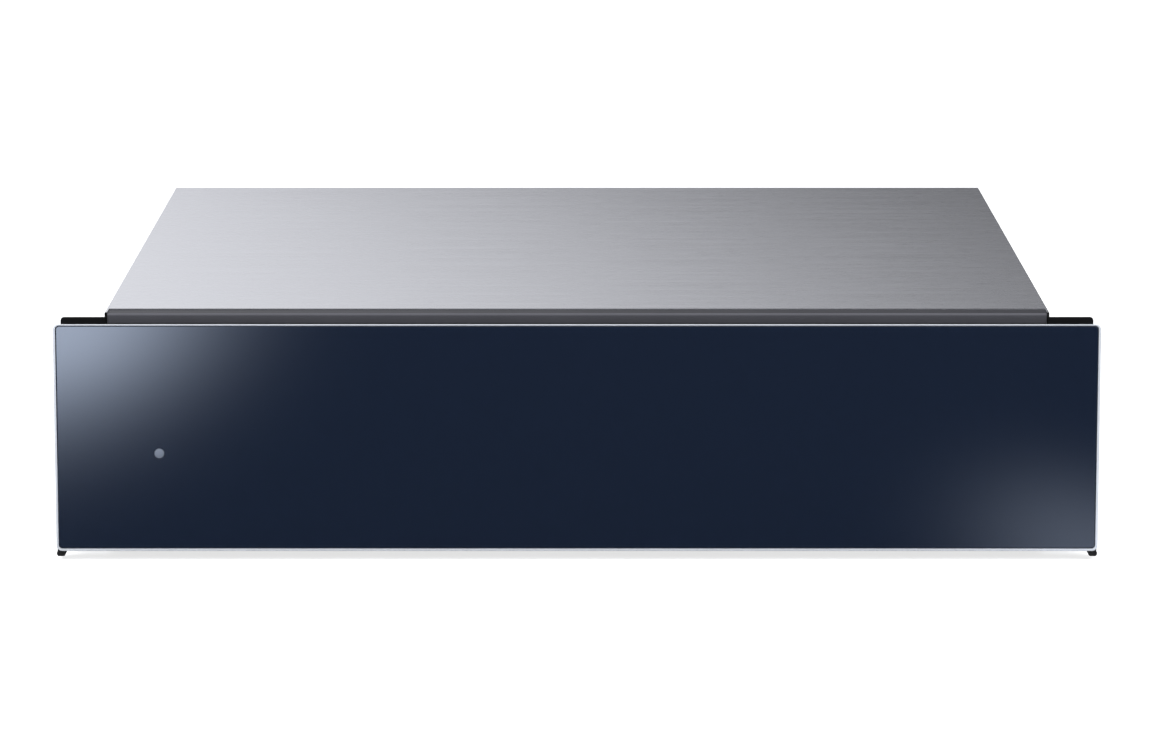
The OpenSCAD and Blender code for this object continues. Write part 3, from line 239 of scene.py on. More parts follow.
def islands(name):
    """Each separate solid of a CAD node as (lowest corner, highest corner, vertices).

    Gives the node as a bmesh too."""
    mesh = merged_copy(name)
    left = set(mesh.verts)
    found = []
    while left:
        todo = [left.pop()]
        solid = []
        while todo:
            v = todo.pop()
            solid.append(v)
            for e in v.link_edges:
                other = e.other_vert(v)
                if other in left:
                    left.remove(other)
                    todo.append(other)
        low = Vector([min(v.co[i] for v in solid) for i in range(3)])
        high = Vector([max(v.co[i] for v in solid) for i in range(3)])
        found.append((low, high, solid))
    return sorted(found, key=lambda b: tuple(b[0])), mesh


def sharp_edges(mesh, shortest):
    """The sharp edges of a bmesh that are at least shortest long, in mm."""
    return [e for e in mesh.edges if e.is_manifold and e.calc_length() >= shortest * MM
            and e.calc_face_angle(0.0) > EDGE_ANGLE]


def round_edges(mesh, width, segments=2, shortest=6.0):
    """Rounds the sharp edges of a bmesh that are longer than shortest, in mm."""
    edges = sharp_edges(mesh, shortest)
    if edges:
        bmesh.ops.bevel(mesh, geom=edges, offset=width * MM, offset_type="OFFSET",
                        segments=segments, profile=0.5, affect="EDGES", clamp_overlap=True)
    return mesh


def bend(mesh, node, axis, width):
    """Rounds the long top edges at a CAD node's low end, or at both ends where the axis is x."""
    low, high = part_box(node)
    ends = [low[axis]] + ([high[axis]] if axis == 0 else [])
    near = 0.1 * MM
    edges = [e for e in sharp_edges(mesh, 60.0)
             if all(abs(v.co.z - high.z) < near for v in e.verts)
             and any(all(abs(v.co[axis] - end) < near for v in e.verts) for end in ends)]
    bmesh.ops.bevel(mesh, geom=edges, offset=width * MM, offset_type="OFFSET", segments=5,
                    profile=0.5, affect="EDGES", clamp_overlap=False)
    return mesh


def fill(mesh, loops, up):
    """Fills the first loop of vertices around the holes that the others are, facing up."""
    flat = [v for loop in loops for v in loop]
    for corners in tessellate_polygon([[v.co for v in loop] for loop in loops]):
        face = mesh.faces.new([flat[i] for i in corners])
        face.normal_update()
        if face.normal.dot(Vector(up)) < 0:
            face.normal_flip()


def revolved(profile, centre, axis, sides, cap_start=True, cap_end=True, flute=None):
    """A bmesh turned from (radius, height) points in mm round an axis, 0 for x, 1 for y, 2 for z.

    A third number is how deep the flutes are there."""
    first, second = [i for i in range(3) if i != axis]
    rings = []
    for radius, height, *grip in profile:
        ring = []
        for i in range(sides):
            a = 2 * math.pi * i / sides
            r = radius - (grip[0] * flute(a) if grip else 0)
            p = list(centre)
            p[first] += r * MM * math.cos(a)
            p[second] += r * MM * math.sin(a)
            p[axis] += height * MM
            ring.append(p)
        rings.append(ring)
    return loft(rings, cap_start=cap_start, cap_end=cap_end)


def mesh_data(name, mesh):
    """Turns a bmesh into plain mesh data, and frees it."""
    data = bpy.data.meshes.new(name)
    mesh.to_mesh(data)
    mesh.free()
    return data


def joined(meshes):
    """Several bmeshes as one."""
    whole = bmesh.new()
    for part in meshes:
        whole.from_mesh(mesh_data("part", part))
    return whole


def link_object(name, data):
    """A new object in the scene, at the origin."""
    made = bpy.data.objects.new(name, data)
    bpy.context.scene.collection.objects.link(made)
    return made


def centre_of(node):
    """The middle of a CAD node's box."""
    low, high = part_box(node)
    return [(low[i] + high[i]) / 2 for i in range(3)]


def rolled_box(low, high, radius):
    """A box with all its edges rounded by radius, in mm, as a bmesh."""
    mesh = bmesh.new()
    bmesh.ops.create_cube(mesh, size=1.0)
    for v in mesh.verts:
        for i in range(3):
            v.co[i] = low[i] if v.co[i] < 0 else high[i]
    return round_edges(mesh, radius, shortest=0.0)


def body_of_node(name):
    """The CAD body that a node belongs to."""
    return frame["nodes"][name]["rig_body"]


def smooth_with_edges(data):
    """Shades a mesh smooth and keeps its edges sharp."""
    data.shade_smooth()
    data.set_sharp_from_angle(angle=EDGE_ANGLE)


def finish_piece(name, data, material, node, flat_faces=False):
    """Makes a mesh the piece that replaces a node, with an even look on its flat faces.

    Without a material's name it keeps its own."""
    if material:
        paint(data, finish(material))
    piece = link_object(name, data)
    if not flat_faces:
        smooth_with_edges(data)
        even = piece.modifiers.new("Even flats", "WEIGHTED_NORMAL")
        even.mode = "FACE_AREA"
        even.weight = 80
        even.keep_sharp = True
    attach(piece, body_of_node(node))
    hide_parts(node)
    return piece


def make_piece(name, mesh, material, node, flat_faces=False):
    """Turns a bmesh into a finished piece that replaces a node and rides on its body."""
    return finish_piece(name, mesh_data(name, mesh), material, node, flat_faces)


def soften(node, material, width, segments=2, shortest=6.0):
    """The CAD node's own shape with its edges rounded by width, in mm."""
    mesh = cad_copy(node)
    if width:
        round_edges(mesh, width, segments, shortest)
    return make_piece(node + "_finished", mesh, material, node)


def paint(data, *materials):
    """Gives a mesh these materials in place of its own."""
    data.materials.clear()
    for material in materials:
        data.materials.append(material)


def shade_front_edges(piece, reach):
    """Paints the faces within reach mm of a piece's front end in the flanges' black, as painted
    shade on its front edge.
    """
    data = piece.data
    data.materials.append(finish("black_powder_coat"))
    front = min(v.co.y for v in data.vertices) + reach * MM
    for face in data.polygons:
        if all(data.vertices[i].co.y < front for i in face.vertices):
            face.material_index = 1


def dress(material, *nodes):
    """Gives CAD nodes that stay their material."""
    for name in nodes:
        paint(frame["nodes"][name].data, finish(material))


# ---------------------------------------------------------------- repeats, as geometry nodes

def new_tree(name, sockets):
    """A geometry tree, its inputs' identifiers, what adds a node to it, and what it is given."""
    tree = bpy.data.node_groups.new(name, "GeometryNodeTree")
    tree.interface.new_socket(name="Geometry", in_out="OUTPUT",
                              socket_type="NodeSocketGeometry")
    ids = {label: tree.interface.new_socket(name=label, in_out="INPUT",
                                            socket_type="NodeSocket" + kind).identifier
           for label, kind in sockets.items()}
    add = partial(add_node, tree)
    return tree, ids, add, add("NodeGroupInput").outputs


def close_tree(add, geometry, material):
    """Ends a tree in Realize Instances and Set Material."""
    real = add("GeometryNodeRealizeInstances", Geometry=geometry)
    painted = add("GeometryNodeSetMaterial", Geometry=real, Material=material)
    add("NodeGroupOutput", Geometry=painted)


def grow(name, tree, ids, values, base=None):
    """Runs a tree on a mesh with its inputs set, and returns the result as a plain mesh."""
    maker = link_object(name + "_maker", base or bpy.data.meshes.new(name + "_seed"))
    run = maker.modifiers.new("Repeats", "NODES")
    run.node_group = tree
    for label, value in values.items():
        run[ids[label]] = value
    graph = bpy.context.evaluated_depsgraph_get()
    made = bpy.data.meshes.new_from_object(maker.evaluated_get(graph))
    made.name = name
    bpy.data.objects.remove(maker)
    return made


def points_tree():
    """Copies of one object on the input's points, with their z axis along the point's axis."""
    tree, ids, add, given = new_tree("Copies at points", {
        "Geometry": "Geometry", "Copied Object": "Object", "Finish": "Material"})
    shape = add("GeometryNodeObjectInfo", Object=given["Copied Object"])
    axis = add("GeometryNodeInputNamedAttribute", {"data_type": "FLOAT_VECTOR"}, Name="axis")
    turn = add("FunctionNodeAlignRotationToVector", {"axis": "Z"}, Vector=axis)
    placed = add("GeometryNodeInstanceOnPoints", Points=given["Geometry"],
                 Instance=shape.outputs["Geometry"], Rotation=turn)
    close_tree(add, placed, given["Finish"])
    return tree, ids


def field_tree():
    """A field of small domes on a flat grid."""
    tree, ids, add, given = new_tree("Studded field", {
        "Centre": "Vector", "Width": "Float", "Length": "Float", "Columns": "Int",
        "Rows": "Int", "Stud Radius": "Float", "Stud Height": "Float", "Finish": "Material"})
    grid = add("GeometryNodeMeshGrid", Size_X=given["Width"], Size_Y=given["Length"],
               Vertices_X=given["Columns"], Vertices_Y=given["Rows"])
    moved = add("GeometryNodeTransform", Geometry=grid, Translation=given["Centre"])
    top = add("ShaderNodeMath", MULTIPLY, at0=given["Stud Radius"], at1=0.6)
    dome = add("GeometryNodeMeshCone", {"fill_type": "NGON"}, Vertices=8, Side_Segments=1,
               Radius_Bottom=given["Stud Radius"], Radius_Top=top, Depth=given["Stud Height"])
    placed = add("GeometryNodeInstanceOnPoints", Points=moved, Instance=dome)
    close_tree(add, placed, given["Finish"])
    return tree, ids


def spokes_tree():
    """Copies of one object turned round the y axis through a centre."""
    tree, ids, add, given = new_tree("Blades round a hub", {
        "Blade": "Object", "Count": "Int", "Centre": "Vector", "Finish": "Material"})
    shape = add("GeometryNodeObjectInfo", Object=given["Blade"])
    line = add("GeometryNodeMeshLine", Count=given["Count"], Offset=(0, 0, 0))
    index = add("GeometryNodeInputIndex")
    share = add("ShaderNodeMath", {"operation": "DIVIDE"}, at0=index, at1=given["Count"])
    turn = add("ShaderNodeMath", MULTIPLY, at0=share, at1=2 * math.pi)
    angles = add("ShaderNodeCombineXYZ", Y=turn)
    placed = add("GeometryNodeInstanceOnPoints", Points=line,
                 Instance=shape.outputs["Geometry"], Rotation=angles)
    moved = add("GeometryNodeTransform", Geometry=placed, Translation=given["Centre"])
    close_tree(add, moved, given["Finish"])
    return tree, ids


def stack_tree():
    """Copies of one object in a straight row."""
    tree, ids, add, given = new_tree("Stack", {
        "Sheet": "Object", "Count": "Int", "Step": "Vector", "Finish": "Material"})
    shape = add("GeometryNodeObjectInfo", Object=given["Sheet"])
    line = add("GeometryNodeMeshLine", Count=given["Count"], Offset=given["Step"])
    placed = add("GeometryNodeInstanceOnPoints", Points=line,
                 Instance=shape.outputs["Geometry"])
    close_tree(add, placed, given["Finish"])
    return tree, ids


def points_mesh(name, places):
    """A mesh of loose points, each with an axis attribute, from (place, axis) pairs."""
    data = bpy.data.meshes.new(name)
    data.from_pydata([tuple(p) for p, _ in places], [], [])
    axis = data.attributes.new("axis", "FLOAT_VECTOR", "POINT")
    axis.data.foreach_set("vector", [c for _, a in places for c in a])
    return data


def repeat(name, make_tree, socket, mesh, values, base=None):
    """Copies a bmesh by a tree, whose input of that name takes it as a temporary object."""
    shape = link_object(name + "_shape", mesh_data(name + "_shape", mesh))
    smooth_with_edges(shape.data)
    tree, ids = make_tree()
    made = grow(name, tree, ids, {socket: shape, **values}, base)
    bpy.data.objects.remove(shape)
    return made


# ---------------------------------------------------------------- finishes

def shade_between(color, amount):
    """A colour made lighter, or darker where amount is below zero."""
    return tuple(min(1.0, max(0.0, c * (1 + amount))) for c in color[:3]) + (1.0,)


def vary(add, shader, level, color, contrast, roughness, spread):
    """Lets a pattern from 0 to 1 move a shader's colour and roughness about their middles."""
    tint = add("ShaderNodeMix", COLOR, at0=level, at6=shade_between(color, -contrast),
               at7=shade_between(color, contrast))
    rough = add("ShaderNodeMapRange", Value=level, To_Min=roughness - spread,
                To_Max=roughness + spread)
    set_inputs(shader, Base_Color=tint, Roughness=rough)


def brushed_metal(name, color, along, line, roughness, spread, contrast, anisotropy=0.0,
                  depth=0.02, metallic=1.0):
    """Belt-sanded sheet: scratches along mm long and line mm apart run from left to right.

    They draw highlights out across the grain, and leave faint light and dark streaks."""
    made, add, shader, place = new_material(name)
    sizes = (along, line, line)
    fine = add("ShaderNodeMapping", Vector=place, Scale=per_mm(*sizes))
    grain = add("ShaderNodeTexNoise", Vector=fine, Scale=1.0, Detail=4.0, Roughness=0.65)
    broad = [s * STREAK for s in sizes]
    wide = add("ShaderNodeMapping", Vector=place, Scale=per_mm(*broad))
    bands = add("ShaderNodeTexNoise", Vector=wide, Scale=1.0, Detail=2.0)
    both = add("ShaderNodeMath", MULTIPLY_ADD, at0=bands, at1=0.5, at2=grain)
    level = add("ShaderNodeMapRange", Value=both, From_Min=0.45, From_Max=1.05)
    vary(add, shader, level, color, contrast, roughness, spread)
    bump = add("ShaderNodeBump", Height=grain, Strength=0.4, Distance=depth * MM)
    set_inputs(shader, Normal=bump, Metallic=metallic)
    if anisotropy:
        facing = add("ShaderNodeNewGeometry")
        across = add("ShaderNodeVectorMath", {"operation": "CROSS_PRODUCT"},
                     at0=facing.outputs["True Normal"], at1=GRAIN_LINE)
        set_inputs(shader, Tangent=across, Anisotropic=anisotropy)
    return made


def fine_grain(name, color, grit, depth, roughness, spread, contrast, metallic=0.0, ior=1.5,
               coat=0.0, handling=60.0, glance=1.0):
    """Moulded, sprayed or plated surface with grit mm of even texture.

    Broad faint variation, handling mm wide, lies over it."""
    made, add, shader, place = new_material(name)
    grain = add("ShaderNodeTexNoise", Vector=place, Scale=per_mm(grit), Detail=2.0,
                Roughness=0.55)
    clouds = add("ShaderNodeTexNoise", Vector=place, Scale=per_mm(handling), Detail=5.0,
                 Roughness=0.6)
    mixed = add("ShaderNodeMath", MULTIPLY_ADD, at0=grain, at1=0.4, at2=clouds)
    level = add("ShaderNodeMapRange", Value=mixed, From_Min=0.45, From_Max=0.95)
    vary(add, shader, level, color, contrast, roughness, spread)
    bump = add("ShaderNodeBump", Height=grain, Strength=0.5, Distance=depth * MM)
    set_inputs(shader, Normal=bump, Metallic=metallic, Coat_Weight=coat,
               Specular_Tint=(glance, glance, glance, 1.0))
    if not metallic:
        set_inputs(shader, IOR=ior)
    return made


def spangled_zinc(name, color):
    """Hot-dip galvanised sheet: zinc crystals about 9 mm wide, each with its tone and gloss."""
    made, add, shader, place = new_material(name)
    warp = add("ShaderNodeTexNoise", Vector=place, Scale=180.0, Detail=2.0)
    bent = add("ShaderNodeVectorMath", MULTIPLY_ADD, at0=warp.outputs["Color"],
               at1=(3 * MM,) * 3, at2=place)
    cells = add("ShaderNodeTexVoronoi", Vector=bent, Scale=per_mm(9.0))
    tone = add("ShaderNodeSeparateColor", Color=cells.outputs["Color"])
    frost = add("ShaderNodeTexNoise", Vector=place, Scale=900.0, Detail=3.0)
    tint = add("ShaderNodeMix", COLOR, at0=tone.outputs["Red"], at6=shade_between(color, -0.16),
               at7=shade_between(color, 0.10))
    rough = add("ShaderNodeMapRange", Value=tone.outputs["Green"], To_Min=0.36, To_Max=0.56)
    grit = add("ShaderNodeMath", MULTIPLY_ADD, at0=frost, at1=0.12, at2=rough)
    bump = add("ShaderNodeBump", Height=frost, Strength=0.3, Distance=0.03 * MM)
    set_inputs(shader, Base_Color=tint, Roughness=grit, Normal=bump, Metallic=0.85)
    return made


def enamelled_glass(name, color, gloss):
    """Tempered glass enamelled on its back: deep even colour under a clear polished face.

    The faint roller wave of tempering bends wide reflections slightly."""
    made, add, shader, place = new_material(name)
    wave = add("ShaderNodeTexNoise", Vector=place, Scale=7.0, Detail=1.0)
    stipple = add("ShaderNodeTexNoise", Vector=place, Scale=per_mm(0.5))
    tint = add("ShaderNodeMix", COLOR, at0=stipple, at6=shade_between(color, -0.05),
               at7=shade_between(color, 0.05))
    rough = add("ShaderNodeMapRange", Value=wave, To_Min=gloss * 0.8, To_Max=gloss * 1.2)
    bump = add("ShaderNodeBump", Height=wave, Strength=0.05, Distance=0.1 * MM)
    set_inputs(shader, Base_Color=tint, Roughness=rough, IOR=1.52, Coat_Normal=bump,
               Coat_Weight=1.0, Coat_Roughness=0.03, Coat_IOR=1.52)
    return made


def mineral_wool(name, color):
    """Needled stone wool: matt tangled fibres, about 1 mm as drawn, with painted shade that
    darkens the hollows of their bump.
    """
    made, add, shader, place = new_material(name)
    fibres = []
    for sizes, turn in (((9.0, 1.1, 1.1), 0.0), ((1.2, 8.0, 1.2), 0.5)):
        way = add("ShaderNodeMapping", Vector=place, Scale=per_mm(*sizes),
                  Rotation=(0.0, 0.0, turn))
        fibres.append(add("ShaderNodeTexNoise", Vector=way, Scale=1.0, Detail=3.0,
                          Distortion=0.8))
    tangle = add("ShaderNodeMath", {"operation": "MAXIMUM"}, at0=fibres[0], at1=fibres[1])
    level = add("ShaderNodeMapRange", Value=tangle, From_Min=0.42, From_Max=0.7)
    # painted shade: the colour darkens where the fibres' bump height is low
    tint = add("ShaderNodeMix", COLOR, at0=level, at6=shade_between(color, -0.35),
               at7=shade_between(color, 0.08))
    bump = add("ShaderNodeBump", Height=tangle, Strength=0.8, Distance=0.8 * MM)
    set_inputs(shader, Base_Color=tint, Normal=bump, Roughness=0.95, Sheen_Weight=0.3)
    return made


def banded(name, axis, pitch, low_color, high_color, roughness, metallic, depth, coat=0.0):
    """Wound wire or stacked sheets: bands of pitch mm along the x, y or z axis, darker at the
    seams: joints between sheets, and painted shade in the grooves between turns of wire.
    """
    made, add, shader, place = new_material(name)
    split = add("ShaderNodeSeparateXYZ", Vector=place)
    turns = add("ShaderNodeMath", MULTIPLY, at0=split.outputs[axis], at1=per_mm(pitch))
    saw = add("ShaderNodeMath", {"operation": "PINGPONG"}, at0=turns, at1=0.5)
    crown = add("ShaderNodeMapRange", Value=saw, From_Max=0.3)
    soil = add("ShaderNodeTexNoise", Vector=place, Scale=160.0, Detail=3.0)
    level = add("ShaderNodeMath", MULTIPLY, at0=crown, at1=soil)
    # the dark seams are joints on stacked sheets, and painted shade in the grooves on wound wire
    tint = add("ShaderNodeMix", COLOR, at0=level, at6=low_color, at7=high_color)
    bump = add("ShaderNodeBump", Height=crown, Strength=0.7, Distance=depth * MM)
    rough = add("ShaderNodeMapRange", Value=soil, To_Min=roughness - 0.08,
                To_Max=roughness + 0.08)
    set_inputs(shader, Base_Color=tint, Roughness=rough, Normal=bump, Metallic=metallic,
               Coat_Weight=coat)
    return made


def heat_tinted_tube(name):
    """Annealed heater sheath: straw, bronze and blue-grey oxide in soft bands along the tube."""
    made, add, shader, place = new_material(name)
    soft = add("ShaderNodeTexNoise", Vector=place, Scale=14.0, Detail=3.0)
    ramp = add("ShaderNodeValToRGB", Fac=soft)
    set_stops(ramp, [(at, srgb(shade)) for at, shade in (
        (0.32, "#6d6a66"), (0.45, "#8a7a63"), (0.54, "#70604f"), (0.62, "#66605f"),
        (0.70, "#5c6068"))])
    scale = add("ShaderNodeTexNoise", Vector=place, Scale=700.0, Detail=2.0)
    rough = add("ShaderNodeMapRange", Value=scale, To_Min=0.38, To_Max=0.62)
    bump = add("ShaderNodeBump", Height=scale, Strength=0.3, Distance=0.04 * MM)
    set_inputs(shader, Base_Color=ramp, Roughness=rough, Normal=bump, Metallic=1.0)
    return made


def circuit_board(name):
    """Green solder mask over copper tracks in 2.5 mm steps, glossy and slightly raised."""
    made, add, shader, place = new_material(name)
    grid = add("ShaderNodeTexVoronoi", {"distance": "MANHATTAN", "feature": "F1"}, Vector=place,
               Scale=per_mm(2.5), Randomness=0.35)
    track = add("ShaderNodeMapRange", Value=grid, From_Min=0.42, From_Max=0.46)
    tint = add("ShaderNodeMix", COLOR, at0=track, at6=srgb("#1d5a35"), at7=srgb("#2f7a49"))
    bump = add("ShaderNodeBump", Height=track, Strength=0.5, Distance=0.04 * MM)
    set_inputs(shader, Base_Color=tint, Normal=bump, Roughness=0.3)
    return made


def frosted_lens_painted_highlight(name, color):
    """Satin light guide: frosted polycarbonate with a painted highlight, its colour lighter
    towards the rim as the face turns from the view.
    """
    made, add, shader, place = new_material(name)
    dust = add("ShaderNodeTexNoise", Vector=place, Scale=1400.0, Detail=2.0)
    # painted highlight: Facing lightens the colour where the surface turns away from the view
    glow = add("ShaderNodeLayerWeight", Blend=0.35)
    mixed = add("ShaderNodeMath", MULTIPLY_ADD, at0=dust, at1=0.25, at2=glow.outputs["Facing"])
    tint = add("ShaderNodeMix", COLOR, at0=mixed, at6=shade_between(color, -0.08),
               at7=shade_between(color, 0.45))
    bump = add("ShaderNodeBump", Height=dust, Strength=0.4, Distance=0.02 * MM)
    set_inputs(shader, Base_Color=tint, Normal=bump, Roughness=0.38, Coat_Weight=0.4,
               Coat_Roughness=0.2)
    return made


def printed_plate(name, color, ink, level):
    """Anodised plate with raised printed marks: what stands above level is ink."""
    made = brushed_metal(name, color, along=14.0, line=0.5, roughness=0.36, spread=0.05,
                         contrast=0.04, anisotropy=0.3)
    nodes, add = made.node_tree.nodes, partial(add_node, made.node_tree)
    shader = next(n for n in nodes if n.type == "BSDF_PRINCIPLED")
    place = next(n for n in nodes if n.type == "TEX_COORD").outputs["Object"]
    metal = shader.inputs["Base Color"].links[0].from_socket
    split = add("ShaderNodeSeparateXYZ", Vector=place)
    printed = add("ShaderNodeMath", {"operation": "GREATER_THAN"}, at0=split.outputs["Z"],
                  at1=level)
    tint = add("ShaderNodeMix", COLOR, at0=printed, at6=metal, at7=ink)
    bare = add("ShaderNodeMath", {"operation": "SUBTRACT"}, at0=1.0, at1=printed)
    set_inputs(shader, Base_Color=tint, Metallic=bare)
    return made


def sleeved_leads(name, low, step):
    """Three silicone-sleeved leads above each other: brown, blue, and green traced with yellow."""
    made, add, shader, place = new_material(name)
    split = add("ShaderNodeSeparateXYZ", Vector=place)
    rank = add("ShaderNodeMapRange", Value=split.outputs["Z"], From_Min=low,
               From_Max=low + 3 * step)
    ramp = add("ShaderNodeValToRGB", Fac=rank)
    ramp.color_ramp.interpolation = "CONSTANT"
    set_stops(ramp, [(at, srgb(shade)) for at, shade in (
        (0.0, "#5e3a26"), (0.333, "#274f8c"), (0.667, "#3d7a38"))])
    stripe = add("ShaderNodeTexWave", {"bands_direction": "DIAGONAL"}, Vector=place, Scale=60.0)
    tracer = add("ShaderNodeMapRange", Value=stripe.outputs["Fac"], From_Min=0.6, From_Max=0.7,
                 To_Max=0.18)
    tint = add("ShaderNodeMix", COLOR, at0=tracer, at6=ramp, at7=srgb("#d9d2b8"))
    set_inputs(shader, Base_Color=tint, Roughness=0.48, IOR=1.41)
    return made


def finish_recipes():
    """Each finish's maker and values, after a comment on what it gives the eye."""
    s = bpy.context.scene.warming_drawer
    steel, plastic = tuple(s.steel_color), tuple(s.plastic_color)
    housing_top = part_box("control_housing")[1].z
    leads_low, leads_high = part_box("duct_leads")
    return {
        # lid: its wide flat face shows long pale streaks and a drawn-out highlight
        "brushed_stainless_lid": (brushed_metal, dict(
            color=steel, along=18.0, line=0.5, roughness=s.lid_roughness, spread=0.03,
            contrast=0.05, anisotropy=0.6)),
        # drawer walls, cold-rolled and lightly sanded: softer streaks, wider gloss, some scatter
        "satin_stainless": (brushed_metal, dict(
            color=shade_between(steel, 0.12), along=12.0, line=0.5, roughness=0.36, spread=0.05,
            contrast=0.05, anisotropy=0.4, metallic=0.72)),
        # casing sheets: a mosaic of dull and bright grey crystals
        "hot_dip_galvanised": (spangled_zinc, dict(color=tuple(s.zinc_color))),
        # small plated parts: clean, bright and slightly blue
        "bright_zinc_plate": (fine_grain, dict(
            color=srgb("#c9cdd2"), grit=0.7, depth=0.01, roughness=0.28, spread=0.035,
            contrast=0.06, metallic=1.0, handling=22.0)),
        # front rail: metallic grey coat that stays dark seen along its flats and lights up on
        # its bend, with a light orange peel
        "grey_powder_coat": (fine_grain, dict(
            color=tuple(s.rail_color), grit=0.9, depth=0.02, roughness=0.36, spread=0.04,
            contrast=0.06, metallic=0.7, glance=0.02)),
        # mounting flanges: the same coat in black, duller
        "black_powder_coat": (fine_grain, dict(
            color=srgb("#070709"), grit=0.8, depth=0.03, roughness=0.55, spread=0.07,
            contrast=0.10, ior=1.4)),
        # housings: injection-moulded with a fine eroded texture
        "moulded_pbt_black": (fine_grain, dict(
            color=plastic, grit=0.6, depth=0.03, roughness=0.52, spread=0.07, contrast=0.12,
            ior=1.54)),
        # feet, seals, pads: dry matt rubber with a touch of bloom
        "moulded_rubber": (fine_grain, dict(
            color=srgb("#1c1c1e"), grit=1.2, depth=0.05, roughness=0.78, spread=0.08,
            contrast=0.20, ior=1.52)),
        # drawer mat: grey rubber, a little lighter where hands and plates have rubbed it
        "mat_rubber": (fine_grain, dict(
            color=srgb("#36363a"), grit=1.2, depth=0.05, roughness=0.66, spread=0.08,
            contrast=0.22, ior=1.52, handling=110.0)),
        # terminal block, plunger, cut-out, coil's ends: warm off-white with a soft sheen
        "ivory_pbt": (fine_grain, dict(
            color=srgb("#d9d3c0"), grit=0.5, depth=0.02, roughness=0.45, spread=0.06,
            contrast=0.05)),
        # button: silver lacquer over plastic, a fine flake under a clear top
        "silver_lacquer": (fine_grain, dict(
            color=srgb("#b9bdc4"), grit=0.35, depth=0.01, roughness=0.33, spread=0.05,
            contrast=0.08, metallic=0.85, coat=0.5, handling=30.0)),
        # knob's pointer: thin white paint, nearly even
        "marking_paint": (fine_grain, dict(
            color=srgb("#dfe1e4"), grit=0.4, depth=0.01, roughness=0.4, spread=0.05,
            contrast=0.04)),
        # rim: extruded, satin-etched and clear anodised; the etched layer also scatters light
        "anodised_aluminium": (brushed_metal, dict(
            color=tuple(s.rim_color), along=30.0, line=0.6, roughness=s.rim_roughness,
            spread=0.03, contrast=0.02, depth=0.005, metallic=0.3)),
        # front: near-black blue that mirrors the studio's cards softly
        "enamelled_glass": (enamelled_glass, dict(
            color=tuple(s.glass_color), gloss=s.glass_roughness)),
        # insulation mats: dull straw-coloured tangle
        "stone_wool": (mineral_wool, dict(color=srgb("#b9ad8d"))),
        # motor's winding: varnished wire, glossy brown-red, with painted shade darkening the seams
        # between the turns
        "enamelled_copper": (banded, dict(
            axis=0, pitch=0.9, low_color=srgb("#4a2413"), high_color=srgb("#b8642f"),
            roughness=0.28, metallic=0.9, depth=0.1, coat=0.6)),
        # probe and its capillary: drawn copper, warm and slightly blotched by handling
        "capillary_copper": (fine_grain, dict(
            color=srgb("#b87650"), grit=0.6, depth=0.01, roughness=0.3, spread=0.06,
            contrast=0.14, metallic=1.0, handling=18.0)),
        # motor's core: punched sheet edges, grey with fine dark lines
        "lamination_steel": (banded, dict(
            axis=1, pitch=0.5, low_color=srgb("#45413f"), high_color=srgb("#a3a4a8"),
            roughness=0.42, metallic=0.75, depth=0.05)),
        # balls, latch spring and motor shaft: hardened and polished, darker than the plating
        "spring_steel": (fine_grain, dict(
            color=srgb("#8e9094"), grit=0.5, depth=0.01, roughness=0.3, spread=0.05,
            contrast=0.10, metallic=1.0, handling=8.0)),
        # heater: bronze and blue-grey bands that heat leaves on the tube
        "oxidised_sheath": (heat_tinted_tube, {}),
        # indicator's board: glossy green with a faint relief of tracks
        "solder_mask": (circuit_board, {}),
        # indicator: milky grey-blue, with a painted highlight that lightens it towards its rim
        "frosted_polycarbonate": (frosted_lens_painted_highlight, dict(color=tuple(s.lens_color))),
        # dial plate: pale satin metal with black marks, which stand 0.65 mm or more above the
        # housing
        "printed_aluminium": (printed_plate, dict(
            color=srgb("#c6c8cc"), ink=srgb("#1a1a1d"), level=housing_top + 0.65 * MM)),
        # leads: soft satin silicone, one colour for each of the three
        "silicone_sleeve": (sleeved_leads, dict(
            low=leads_low.z, step=(leads_high.z - leads_low.z) / 3)),
    }


def finish(name):
    """A finish by name, made the first time that a piece asks for it."""
    found = bpy.data.materials.get(name)
    if found:
        return found
    maker, values = finish_recipes()[name]
    return maker(name, **values)


# ---------------------------------------------------------------- sizes and colours

